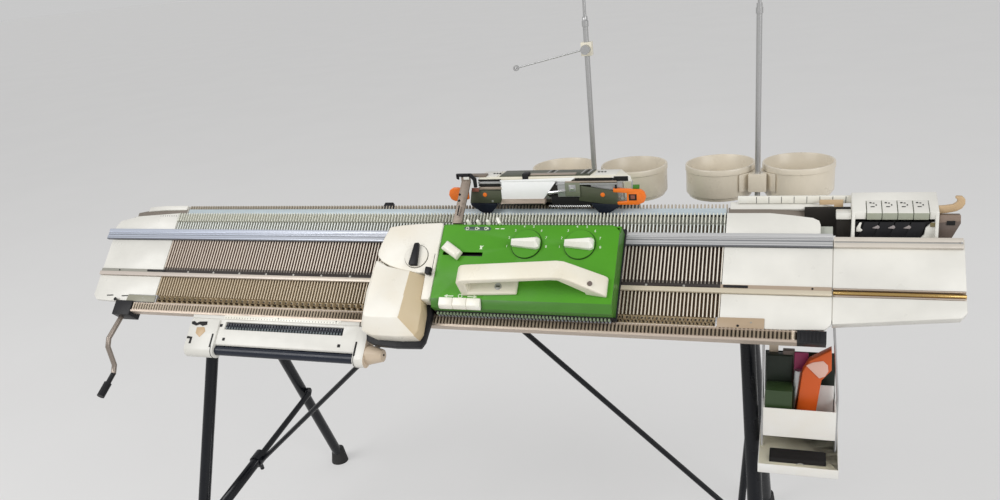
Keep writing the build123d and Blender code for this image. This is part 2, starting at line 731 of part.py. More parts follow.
keep("bridge_bar", bridge_bar, guide_block)

# Extension: the front panel goes on to the right, with its own rail and a brass rod
extension_left = bed_right + 1
extension_top = 17.0
extension_rise = 0.0
panel = [(extension_left, -extension_top), (extension_right, -extension_top), (extension_right, 79)]
panel += [(extension_right - 6, 86), (extension_left, 100)]
rod_down = needle_bar_down + needle_bar_width
trench = slab((extension_left - 1, extension_right + 1), (rod_down - 6, rod_down + 6), (-6, 1))
extension = front(plan(panel, (plate_under, extension_rise)) - trench)
extension_rail = [(-extension_top, 0), (-extension_top, rail_rise), (-extension_top + 6, rail_rise)]
extension_rail += [(-extension_top + 6, rail_rise - 1), (-extension_top + 8, rail_rise - 1)]
extension_rail += [(-extension_top + 8, rail_rise), (-3, rail_rise), (-3, 0)]
extension_bar = front(along_bed((extension_left, extension_right - 2), extension_rail))
rod_radius_brass = 3.0
brass = rod((extension_left, -rod_down, -3), (extension_right, -rod_down, -3), rod_radius_brass)
keep("extension_rails", extension_bar, front(brass))
joiner_under = plate_under - 4
joiner = slab((bed_right - 40, extension_left + 40), (10, 40), (joiner_under, plate_under))
joiner += slab((bed_right, extension_left), (-peg_end + 22, 95), (plate_under, -1))
keep("extension_panel", extension + front(joiner))

# Colour changer: a housing with four sprung keys, standing behind the extension rail
seat_top = bed_point(0, -extension_top, 0)
seat_low = bed_point(0, -extension_top, plate_under)
changer_back = 18.0
changer_front = -26.0
housing_high = bed_height + 58.5
housing_low = bed_height + 45.0
cheek_wall = 4.0
cheek = [(seat_top.Y, seat_top.Z), (seat_low.Y, seat_low.Z), (changer_back, seat_low.Z)]
cheek += [(changer_back, housing_high - 2), (changer_back - 4, housing_high), (changer_front, housing_low)]
key_back = -2.0
key_slope = (housing_high - housing_low) / (changer_back - 4 - changer_front)
key_back_z = housing_low + key_slope * (key_back - changer_front)
housing = along_x((changer_left, changer_left + cheek_wall), cheek)
housing += along_x((changer_right - cheek_wall, changer_right), cheek)
top_outline = [(key_back, key_back_z), (changer_back - 4, housing_high), (changer_back, housing_high - 2)]
top_outline += [(changer_back, seat_low.Z), (changer_back - 3, seat_low.Z), (changer_back - 3, housing_high - 5)]
top_outline += [(key_back, key_back_z - 4)]
housing += along_x((changer_left, changer_right), top_outline)
changer_key_first = 621.5
changer_key_pitch = 17.9
changer_keys_end = changer_key_first + colour_keys * changer_key_pitch
side_outline = [(changer_front, housing_low), (key_back, key_back_z), (key_back, key_back_z - 4)]
side_outline += [(changer_front, housing_low - 10)]
housing += along_x((changer_left, changer_key_first - running_gap), side_outline)
housing += along_x((changer_keys_end + running_gap, changer_right), side_outline)
feeder = [(changer_front + 4, bed_height + 31), (changer_front + 4, bed_height + 16)]
feeder += [(changer_front + 14, bed_height + 8), (changer_back - 3, bed_height + 8)]
feeder += [(changer_back - 3, bed_height + 31)]
feeder_block = along_x((changer_left + cheek_wall, changer_right - cheek_wall), feeder)
keep("colour_changer_body", housing, feeder_block)
for number in range(colour_keys):
    x = changer_key_first + number * changer_key_pitch
    outline = [(changer_front - 2, housing_low - 10), (changer_front - 2, housing_low - 1)]
    outline += [(changer_front, housing_low), (key_back - running_gap, key_back_z)]
    outline += [(key_back - running_gap, key_back_z - 5), (changer_front + 4, housing_low - 10)]
    key = along_x((x + 0.3, x + changer_key_pitch - 0.3), outline)
    keep(f"colour_key_{number + 1}", key)
hook_y = (-12.0, -6.0)
hook = [(changer_right + 0.4, 34), (changer_right + 0.4, 44), (721, 47), (723, 60), (731, 60), (731, 46), (725, 39)]
tail = upright((-24, -12.4), [(changer_right, 8), (722, 4), (729, 32), (changer_right, 36)])
tail -= block((712, 720), (-30, 0), (bed_height + 22, bed_height + 29))
keep("changer_bracket", tail, upright(hook_y, hook))
scale_y = (changer_back - 4.5, changer_back - 0.5)
scale_up = (bed_height + 44, bed_height + 54)
keep("scale_bar", block((scale_left, changer_left), scale_y, scale_up))

# Masts with their thread guides and a swinging tension arm
mast_step = bed_height + 290.0
mast_head = bed_height + 338.0
masts = []
guides = []
for x in (mast_left_x, mast_right_x):
    mast = rod((x, rear_bar_y, rear_bar_top), (x, rear_bar_y, mast_step), mast_radius)
    mast += rod((x, rear_bar_y, mast_step), (x, rear_bar_y, mast_head), mast_radius - 1.5)
    mast += rod((x, rear_bar_y, mast_step - 14), (x, rear_bar_y, mast_step - 6), mast_radius + 1)
    masts.append(mast)
    head = block((x - 22, x + 22), (rear_bar_y - 5, rear_bar_y + 5), (mast_head - 8, mast_head + 4))
    head = fillet(head.edges().filter_by(Axis.Y), 4)
    head -= rod((x, rear_bar_y, mast_head - 10), (x, rear_bar_y, mast_head), mast_radius - 1.5)
    for side in (-1, 1):
        eye_x = x + side * 14
        head -= rod((eye_x, rear_bar_y - 6, mast_head - 2), (eye_x, rear_bar_y + 6, mast_head - 2), 2.5)
    guides.append(head)
keep("yarn_masts", *masts)
arm_height = bed_height + 243.0
arm_reach = 112.0
arm_drop = 21.0
swivel_y = rear_bar_y - mast_radius
swivel = rod((mast_left_x, swivel_y - 1, arm_height), (mast_left_x, swivel_y - 9, arm_height), 7)
arm_start = (mast_left_x - 4, swivel_y - 6, arm_height)
arm_tip = (mast_left_x - arm_reach, swivel_y - 6, arm_height - arm_drop)
arm = swivel + rod(arm_start, arm_tip, 1.2)
ring_end = (arm_tip[0], arm_tip[1] + 2, arm_tip[2])
keep("tension_arm", arm + pipe((arm_tip[0], arm_tip[1] - 2, arm_tip[2]), ring_end, 4.5, 2))
clip_low = arm_height - 10
tension_clip = block((mast_left_x - 8, mast_left_x + 8), (swivel_y - 0.6, rear_bar_y + 8), (clip_low, clip_low + 20))
tension_clip -= rod((mast_left_x, rear_bar_y, clip_low - 1), (mast_left_x, rear_bar_y, clip_low + 21), mast_radius)
keep("thread_guides", *guides, tension_clip)

# Yarn cups hang in pairs from a clip on each mast
cup_y = rear_bar_y + cup_behind
cup_low = cup_rim_height - cup_height
clip_up = (cup_low + 14, cup_rim_height - cup_rim)
plate_wall = 3.0


def upright_disc(x, y, up, radius):
    """A round disc standing on a horizontal plane."""
    return Pos(x, y, (up[0] + up[1]) / 2) * Cylinder(radius, up[1] - up[0])


def yarn_cup(x):
    """An open cup with a stepped foot and a rim band."""
    wall = upright_disc(x, cup_y, (cup_low + cup_foot_height, cup_rim_height), cup_radius)
    wall += upright_disc(x, cup_y, (cup_low, cup_low + cup_foot_height), cup_foot)
    wall += upright_disc(x, cup_y, (cup_rim_height - cup_rim, cup_rim_height), cup_radius + 1)
    inside = (cup_low + cup_foot_height + cup_wall, cup_rim_height + 1)
    return wall - upright_disc(x, cup_y, inside, cup_radius - cup_wall)


def cup_clip(x):
    """A block round the mast with a curved plate against each cup."""
    clip = block((x - 13, x + 13), (rear_bar_y - 10, rear_bar_y + 12), clip_up)
    for side in (-1, 1):
        centre = x + side * cup_spread
        reach = block((x - 26, x + 26), (rear_bar_y - 14, rear_bar_y + 30), clip_up)
        clip += reach & upright_disc(centre, cup_y, clip_up, cup_radius + plate_wall)
    for side in (-1, 1):
        clip -= upright_disc(x + side * cup_spread, cup_y, clip_up, cup_radius)
    return clip - rod((x, rear_bar_y, clip_up[0] - 1), (x, rear_bar_y, clip_up[1] + 1), mast_radius)


cup_places = [x + side * cup_spread for x in (mast_left_x, mast_right_x) for side in (-1, 1)]
keep("yarn_cups", *[yarn_cup(x) for x in cup_places])
keep("cup_clips", *[cup_clip(x) for x in (mast_left_x, mast_right_x)])

# Pattern card reader on the guard rail's outer face, with its feed roller
reader_down = guard_down + guard_width + guard_lip
case = [(reader_down, -12), (reader_down, reader_top + 1.5), (reader_down + 6, reader_top + 1.5)]
case += [(reader_down + 6, reader_top), (reader_reach - 3, reader_top), (reader_reach, reader_top - 4)]
case += [(reader_reach, -18), (reader_down + 22, -24), (reader_down + 6, -20)]
cheek_left = (-reader_left, -reader_left + cheek_width_left)
cheek_right = (-reader_right - cheek_width_right, -reader_right)
window_x = (cheek_left[1] + 10, cheek_right[0] - 25)
window_down = (reader_down + 9.5, reader_down + 22)


def on_roller(left, right, radius):
    """A round bar on the feed roller's axis, on a flat bed."""
    return rod((left, -roller_down, roller_up), (right, -roller_down, roller_up), radius)


reader = along_bed((cheek_left[0], cheek_right[0]), case)
reader -= on_roller(cheek_left[1], cheek_right[0], roller_radius + 1.2)
reader -= slab(window_x, window_down, (-4, reader_top + 1))
for left, right in (cheek_left, cheek_right):
    reader += on_roller(left, right, cheek_round)
    reader += slab((left, right), (reader_down + 8, roller_down), (roller_up - cheek_round, roller_up + cheek_round))
reader -= on_roller(cheek_left[1] - 8, cheek_right[0] + 8, journal_radius + turning_gap)
roller = on_roller(cheek_left[1] + 0.5, cheek_right[0] - 0.5, roller_radius)
roller += on_roller(cheek_left[1] - 7, cheek_right[0] + 7, journal_radius)
keep("chart_roller", front(roller))
knob_length = 24.0
knob_plane = Plane(origin=(cheek_right[1], 9 - roller_down, roller_up - 3.5), z_dir=(1, 0, 0))
knob = knob_plane.location * Pos(0, 0, knob_length / 2) * Cone(15, 9, knob_length)
keep("chart_reader_body", front(reader), front(knob))


# Tool trays on two wires under the right end of the bed
def tray(x, y, low, high, back_high):
    """An open tray with a higher back wall."""
    outline = [(y[0], low), (y[0], high), (y[1], back_high), (y[1], low)]
    inner = [(y[0] + tray_wall, low + tray_wall), (y[0] + tray_wall, high + 99), (y[1] - tray_wall, back_high + 99)]
    inner += [(y[1] - tray_wall, low + tray_wall)]
    return along_x(x, outline) - along_x((x[0] + tray_wall, x[1] - tray_wall), inner)


upper_floor = upper_tray_low + tray_wall
lower_floor = lower_tray_low + tray_wall
upper_tray = tray((tray_left, tray_right), (tray_front, tray_back), upper_tray_low,
                  upper_tray_low + tray_height, upper_tray_low + tray_height + 2)
lower_x = (tray_left - 5.8, tray_right + 6)
lower_tray = tray(lower_x, (tray_front - 10, tray_back + 6), lower_tray_low,
                  lower_tray_low + 14, lower_tray_low + 40)
keep("tool_trays", upper_tray, lower_tray)
wire_y = -60.0
flange_z = bed_height + 2 * flange_under * slope_cos - (-wire_y - rail_line)
panel_z = bed_height + 2 * joiner_under * slope_cos - (-wire_y - rail_line)
left_x = tray_left - wire_radius
right_x = tray_right + wire_radius
left_wire = rod((left_x, wire_y, lower_floor), (left_x, wire_y, flange_z - wire_radius), wire_radius)
right_path = [(right_x, wire_y, lower_floor), (right_x, wire_y, upper_tray_low + tray_height + 8)]
right_path.append((extension_left, wire_y, panel_z - wire_radius))
keep("tray_hanger", left_wire, wire(right_path, wire_radius, 4))

# What lies in the trays: a brush below, boxes, a bag, cards and a pouch above
brush = block((512, 586), (tray_front - 4, tray_front + 22), (lower_floor, lower_floor + 20))
green_box = block((505, 540), (tray_front + 6, tray_front + 34), (upper_floor, upper_floor + 66))
dark_bag = block((505, 539), (tray_front + 36, tray_front + 48), (upper_floor, upper_floor + 104))
card = block((541, 559), (tray_front + 36, tray_front + 39), (upper_floor, upper_floor + 110))
paper = block((562, 593), (tray_front + 36, tray_front + 38), (upper_floor, upper_floor + 62))
pouch_rise = [(542, 0), (567, 0), (576, 80), (588, 96), (587, 126), (560, 108), (552, 92)]
pouch_points = [(x, tray_front + 16, upper_floor + rise) for x, rise in pouch_rise]
pouch = extrude(make_face(Polyline(pouch_points, close=True)), amount=14, dir=(0, 1, 0))
keep("tray_tools", brush, green_box, dark_bag, card, paper, pouch)

# Stand the machine on the floor, with the origin under the middle of its outer box
outer = Compound(children=[solid for shape in nodes.values() for solid in shape.solids()]).bounding_box()
centre = outer.center()
seat = Pos(-centre.X, -centre.Y, -outer.min.Z)
os.makedirs("parts", exist_ok=True)
for name, shape in nodes.items():
    export_step(seat * shape, f"parts/{name}.step")
print(len(nodes), "sub-parts, origin at", centre.X, centre.Y, outer.min.Z)
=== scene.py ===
"""Finishes and fine detail for a double-bed hand knitting machine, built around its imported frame."""

import json
import math
from contextlib import contextmanager

import bmesh
import bpy
from mathutils import Matrix, Vector


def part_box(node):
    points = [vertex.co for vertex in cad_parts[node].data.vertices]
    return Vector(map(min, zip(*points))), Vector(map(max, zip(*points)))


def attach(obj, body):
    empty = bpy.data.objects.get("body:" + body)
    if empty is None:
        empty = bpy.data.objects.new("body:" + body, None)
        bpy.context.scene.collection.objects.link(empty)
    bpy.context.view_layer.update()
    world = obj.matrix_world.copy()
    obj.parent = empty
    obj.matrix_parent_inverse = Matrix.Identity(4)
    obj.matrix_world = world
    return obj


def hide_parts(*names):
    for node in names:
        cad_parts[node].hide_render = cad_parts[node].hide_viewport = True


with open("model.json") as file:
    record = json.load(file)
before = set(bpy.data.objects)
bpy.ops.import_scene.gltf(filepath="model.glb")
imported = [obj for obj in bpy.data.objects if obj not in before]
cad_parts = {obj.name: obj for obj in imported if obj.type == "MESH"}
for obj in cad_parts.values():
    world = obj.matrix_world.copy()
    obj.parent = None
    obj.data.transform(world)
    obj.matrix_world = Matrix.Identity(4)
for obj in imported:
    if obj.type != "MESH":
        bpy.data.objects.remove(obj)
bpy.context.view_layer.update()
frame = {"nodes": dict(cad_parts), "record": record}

bl_info = {
    "name": "Knitting Machine Dress",
    "version": (1, 0, 0),
    "blender": (4, 5, 0),
    "location": "3D View > Sidebar > Knitting",
    "description": "Finishes and fine detail for a double-bed hand knitting machine",
    "category": "Object",
}

# The machine's own measures in millimetres: x along the beds from the middle needle, y back
# from the throat, z up from the floor. On a bed, "down" runs down the slope and "up" is the
# height above the channel walls.
MM = 0.001
SLOPE = math.sqrt(0.5)
FRONT = -1
BACK = 1
NEEDLE_PITCH = 5.0
NEEDLES = 179
BED_HEIGHT = 712.0
THROAT = 19.5
GATE_TOP = 52.0
RAIL_LINE = GATE_TOP * SLOPE + THROAT / 2
FIELD_HALF = NEEDLE_PITCH * NEEDLES / 2
COVER_TOP = 42.0
DIAL_DOWN = 16.0
DIAL_PLACES = (188.3, 263.8)
CHANNEL_FLOOR = -5.0
COMB_SEAT = -2.4
COMB_DOWN = (-52.0, -36.6)
NEEDLE_DOWN = (-36.0, 96.5)
BUTT_DOWN = (46.6, 50.9)

# Counts and places of what repeats
DIAL_FIGURES = 8
LOCK_TEETH = 50
CHANGER_KEYS = 4
KEY_PITCH = 17.9
READER_TEETH = 41
CUP_PLACES = (171.0, 287.0, 422.0, 538.0)
SPRING_TURNS = 22

# The stage: floor and lamps in metres, the camera in millimetres and degrees
FLOOR_HALF_SIZE = 60.0
FLOOR_GLOW = (0.76, 0.76, 0.76)
GLOW_SHARE = 0.45
BACKDROP_GREY = (0.58, 0.58, 0.58)
LIT_SPOT = (0, 0, 0.65)
CAMERA_PLACE = (543.5, -1136.2, 1114.1)
CAMERA_TURN = (67.7987, 5.9087, 18.6157)
CAMERA_SHIFT = (0.0008, 0.0413)
FRAME_WIDTH = 36.0

front_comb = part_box("front_gate_pegs")
back_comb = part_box("back_gate_pegs")
MIDDLE = Vector((
    (front_comb[0].x + front_comb[1].x) / 2,
    (front_comb[1].y + back_comb[0].y) / 2,
    0.0,
))
UPRIGHT = Matrix.Translation(MIDDLE) @ Matrix.Scale(MM, 4)
OVER_BEDS = UPRIGHT @ Matrix.Translation((0, 0, BED_HEIGHT))


def bed_matrix(side):
    """Takes (x, down, up) in millimetres on a bed to the frame in metres."""
    turn = Matrix((
        (1, 0, 0, 0),
        (0, side * SLOPE, side * SLOPE, side * RAIL_LINE),
        (0, -SLOPE, SLOPE, BED_HEIGHT),
        (0, 0, 0, 1),
    ))
    return UPRIGHT @ turn


ON_BED = {FRONT: bed_matrix(FRONT), BACK: bed_matrix(BACK)}


def box_of(node):
    """The two corners of a CAD node's box in upright millimetres."""
    return [[(corner[axis] - MIDDLE[axis]) / MM for axis in range(3)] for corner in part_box(node)]


# Shader arithmetic
class Signal:
    """One number in a node tree, joined to others by Python's own operators."""

    def __init__(self, nodes, socket):
        self.nodes = nodes
        self.socket = socket

    def math(self, operation, first, second=None):
        inputs = [first] if second is None else [first, second]
        return self.nodes.signal("ShaderNodeMath", {"operation": operation}, inputs)

    def __add__(self, other):
        return self.math("ADD", self, other)

    __radd__ = __add__

    def __sub__(self, other):
        return self.math("SUBTRACT", self, other)

    def __rsub__(self, other):
        return self.math("SUBTRACT", other, self)

    def __mul__(self, other):
        return self.math("MULTIPLY", self, other)

    __rmul__ = __mul__

    def __truediv__(self, other):
        return self.math("DIVIDE", self, other)

    def __gt__(self, other):
        return self.math("GREATER_THAN", self, other)

    def __lt__(self, other):
        return self.math("LESS_THAN", self, other)

    def __abs__(self):
        return self.math("ABSOLUTE", self)

    def part(self):
        """The part after the whole number."""
        return self.math("FRACT", self)


class Nodes:
    """A node tree that is filled node by node."""

    def __init__(self, tree):
        self.tree = tree
        self.tree.nodes.clear()

    def plug(self, socket, value):
        """Join a value or a link to one socket."""
        if isinstance(value, Signal):
            value = value.socket
        if isinstance(value, bpy.types.NodeSocket):
            self.tree.links.new(value, socket)
        elif isinstance(value, tuple) and len(value) == 3 and socket.type == "RGBA":
            socket.default_value = (*value, 1.0)
        else:
            socket.default_value = value

    def node(self, kind, settings=None, inputs=()):
        """Any node: its settings first, then the values or links of its sockets."""
        made = self.tree.nodes.new(kind)
        for key, value in (settings or {}).items():
            setattr(made, key, value)
        pairs = inputs.items() if isinstance(inputs, dict) else enumerate(inputs)
        for key, value in pairs:
            self.plug(made.inputs[key], value)
        return made

    def signal(self, kind, settings=None, inputs=()):
        return Signal(self, self.node(kind, settings, inputs).outputs[0])

    def ease(self, value, low, high, start=0.0, end=1.0):
        """A value taken from one range to another and held at the ends."""
        inputs = {"Value": value, "From Min": low, "From Max": high, "To Min": start, "To Max": end}
        return self.signal("ShaderNodeMapRange", {"clamp": True}, inputs)

    def looked_at(self):
        """1 for a camera, glossy or transmission ray, and 0 for the rays that only light."""
        path = self.node("ShaderNodeLightPath")
        camera, glossy, through = (
            Signal(self, path.outputs[f"Is {kind} Ray"]) for kind in ("Camera", "Glossy", "Transmission")
        )
        return self.ease(camera + glossy + through, 0.0, 1.0)

    def blended(self, share, first, second):
        """A share of the second shader over the first."""
        inputs = [share, first.outputs[0], second.outputs[0]]
        return self.node("ShaderNodeMixShader", inputs=inputs).outputs[0]


class Finish(Nodes):
    """A procedural material on Object coordinates."""

    def __init__(self, name, colour, roughness, metallic=0.0, **shader):
        self.material = bpy.data.materials.new(name)
        self.material.use_nodes = True
        super().__init__(self.material.node_tree)
        self.shader = self.node("ShaderNodeBsdfPrincipled")
        self.output = self.node("ShaderNodeOutputMaterial", inputs={"Surface": self.shader.outputs["BSDF"]})
        self.set("Base Color", colour)
        self.set("Roughness", roughness)
        self.set("Metallic", metallic)
        for socket, value in shader.items():
            self.set(socket.replace("_", " ").title().replace("Ior", "IOR"), value)
        self.material.diffuse_color = (*colour[:3], 1.0)

    def set(self, socket, value):
        self.plug(self.shader.inputs[socket], value)

    def place(self):
        """Object coordinates in metres."""
        return self.node("ShaderNodeTexCoord").outputs["Object"]

    def axes(self):
        """x, y and z in millimetres from the middle needle, the throat and the floor."""
        split = self.node("ShaderNodeSeparateXYZ", inputs=[self.place()])
        return [
            (Signal(self, split.outputs[number]) - MIDDLE[number]) * 1000.0
            for number in range(3)
        ]

    def bed_axes(self, side):
        """x, down and up in millimetres on one bed."""
        x, y, z = self.axes()
        out = y * float(side) - RAIL_LINE
        rise = z - BED_HEIGHT
        return x, (out - rise) * SLOPE, (out + rise) * SLOPE

    def noise(self, scale, detail=3.0, stretch=(1, 1, 1)):
        """Noise from 0 to 1, stretched along the axes."""
        mapped = self.node("ShaderNodeMapping", inputs={"Vector": self.place(), "Scale": stretch})
        inputs = {"Vector": mapped.outputs["Vector"], "Scale": scale, "Detail": detail, "Roughness": 0.55}
        return self.signal("ShaderNodeTexNoise", inputs=inputs)

    def mix(self, share, first, second):
        """A colour between two others."""
        inputs = {0: share, 6: first, 7: second}
        return self.node("ShaderNodeMix", {"data_type": "RGBA"}, inputs).outputs[2]

    def bump(self, height, strength, distance):
        inputs = {"Height": height, "Strength": strength, "Distance": distance}
        self.set("Normal", self.node("ShaderNodeBump", inputs=inputs).outputs["Normal"])


def mottled(look, first, second, scale=14.0, detail=4.0):
    """Slow colour change over a surface."""
    share = look.ease(look.noise(scale, detail), 0.35, 0.65)
    look.set("Base Color", look.mix(share, first, second))


def moulded(name, colour, roughness=0.34, age=0.93, grain=0.05, **shader):
    """Smooth moulded plastic, a little yellowed and handled."""
    look = Finish(name, colour, roughness, **shader)
    aged = (colour[0] * (age + 0.03), colour[1] * age, colour[2] * (age - 0.05))
    mottled(look, colour, aged)
    wear = look.noise(55.0, 5.0)
    look.set("Roughness", look.ease(wear, 0.3, 0.7, roughness - 0.06, roughness + 0.1))
    look.bump(look.noise(900.0, 2.0), grain, 0.0002)
    return look


def drawn_metal(name, colour, roughness, stretch=(1, 40, 40), metallic=1.0):
    """Metal with fine lines along one axis."""
    look = Finish(name, colour, roughness, metallic)
    lines = look.noise(60.0, 5.0, stretch)
    dull = tuple(channel * 0.8 for channel in colour)
    look.set("Base Color", look.mix(look.ease(lines, 0.35, 0.7), colour, dull))
    look.set("Roughness", look.ease(lines, 0.3, 0.7, roughness - 0.07, roughness + 0.12))
    look.bump(lines, 0.12, 0.0002)
    return look


def painted(name, colour, roughness=0.4, peel=0.08, **shader):
    """Smooth paint with a slight orange peel."""
    look = Finish(name, colour, roughness, **shader)
    darker = tuple(channel * 0.86 for channel in colour)
    mottled(look, colour, darker, 9.0)
    look.set("Roughness", look.ease(look.noise(40.0), 0.3, 0.7, roughness - 0.05, roughness + 0.08))
    look.bump(look.noise(700.0, 2.0), peel, 0.0003)
    return look


def channel_walls(name, side, crests, flanks, floors):
    """Pale wall tops over brown sides and dark floors, changing from the left end to the right."""
    look = Finish(name, crests[0], 0.42, 0.15)
    x, down, up = look.bed_axes(side)
    # From the left end to the right, below the ride rail, and the strip above the slide rail
    across = look.ease(x, -430.0, 430.0)
    lower = look.ease(down, 57.0, 61.0)
    strip = look.ease(down, -24.0, -20.0, 1.0, 0.0)
    crest = look.mix(across, crests[0], crests[1])
    crest = look.mix(lower * look.ease(across, 0.2, 1.0, 0.75, 0.15), crest, flanks[1])
    crest = look.mix(strip, crest, crests[2])
    # The dark row of needle butts, with the wall tops among them darkened as painted shade
    if side == FRONT:
        crest = look.mix((abs(down - 49.2) < 2.4) * 0.75, crest, floors[0])
    flank = look.mix(lower, flanks[0], flanks[1])
    flank = look.mix(strip, flank, flanks[2])
    floor = look.mix(lower, floors[0], floors[1])
    band = look.ease(abs(down + 31.5), 1.5, 5.0, 1.0, 0.0) * strip
    floor = look.mix(strip * 0.85 if side == FRONT else band * 0.8, floor, flanks[2])
    streak = look.noise(45.0, 4.0, (30, 2, 2))
    flank = look.mix(look.ease(streak, 0.45, 0.7) * 0.3, flank, floor)
    inner = look.mix(look.ease(up, -4.9, -4.0), floor, flank)
    top = look.ease(up, -1.8, -0.8)
    look.set("Base Color", look.mix(top, inner, crest))
    look.set("Roughness", look.ease(top, 0.0, 1.0, 0.75, 0.38))
    look.bump(look.noise(300.0), 0.1, 0.0002)
    return look


def rail_finish(name, side, across_colours):
    """Grooved slide rail; dark needle bar over the needles with plain ends, and a beige ride rail."""
    look = Finish(name, across_colours[0], 0.34, 0.4)
    x, down, up = look.bed_axes(side)
    across = look.ease(x, -350.0, 350.0)
    lines = look.noise(12.0, 3.0, (1, 30, 30))
    slide = look.mix(across, *across_colours)
    # Dark lines along the slide rail: painted shade in its grooves
    for line, half, depth in ((-14.0, 0.7, 0.55), (-10.6, 1.0, 0.7), (-6.4, 0.6, 0.5), (-3.2, 0.9, 0.85)):
        slide = look.mix((abs(down - line) < half) * depth, slide, (0.07, 0.075, 0.09))
    ends = look.mix(look.ease(x, -10.0, 10.0), (0.36, 0.35, 0.30), (0.46, 0.36, 0.27))
    bar = look.mix(look.ease(abs(x), 447.0, 448.0), (0.028, 0.020, 0.016), ends)
    ride = look.mix(across, (0.60, 0.53, 0.47), (0.62, 0.55, 0.42))
    low_rails = look.mix(look.ease(down, 57.4, 57.8), bar, ride)
    base = look.mix(down > 30.0, slide, low_rails)
    look.set("Base Color", look.mix(look.ease(lines, 0.4, 0.7) * 0.12, base, (0.25, 0.25, 0.26)))
    look.set("Roughness", look.ease(lines, 0.3, 0.7, 0.3, 0.4))
    look.set("Metallic", look.ease(down, 30.0, 31.0, 0.4, 0.25))
    return look


def pusher_finish(name, foot, shadow):
    """Tan feet with two rows of dark squares between them: painted shadow in the gaps."""
    look = Finish(name, foot, 0.45, 0.2)
    x, down, up = look.bed_axes(FRONT)
    count = x / NEEDLE_PITCH + 200.0
    upper = (count.part() > 0.45) * (abs(down - 100.6) < 1.7)
    lower = ((count + 0.5).part() > 0.55) * (abs(down - 105.8) < 1.4)
    worn = look.mix(look.ease(look.noise(60.0), 0.35, 0.7), foot, (0.34, 0.27, 0.16))
    look.set("Base Color", look.mix(look.ease(upper + lower, 0.0, 1.0), worn, shadow))
    look.bump(look.noise(300.0), 0.1, 0.0002)
    return look


def guard_finish(name, margin, reed, shadow):
    """Steel strip with beige margins; its slots and the reeds' lower sides are painted shadow, and only the
    reeds' crests keep their colour.
    """
    look = Finish(name, margin, 0.4, 0.5)
    x, down, up = look.bed_axes(FRONT)
    crest = look.ease(up, 3.6, 5.2)
    slots = (down > 113.8) * (down < 123.2)
    lines = look.noise(40.0, 4.0, (1, 30, 30))
    reeds = look.mix(crest, shadow, reed)
    base = look.mix(slots, margin, reeds)
    look.set("Base Color", look.mix(look.ease(lines, 0.4, 0.8) * 0.3, base, shadow))
    look.set("Roughness", look.ease(lines, 0.3, 0.7, 0.3, 0.5))
    return look


# Bmesh pieces
def of_kind(items, kind):
    return [item for item in items if isinstance(item, kind)]


def rounded(mesh, edges, offset, segments, sharp):
    """Bevel the edges where two faces meet more sharply than an angle."""
    chosen = [edge for edge in edges if len(edge.link_faces) == 2 and edge.calc_face_angle() > sharp]
    bmesh.ops.bevel(
        mesh, geom=chosen, offset=offset, offset_type="OFFSET", segments=segments,
        profile=0.5, affect="EDGES", clamp_overlap=True, material=-1,
    )


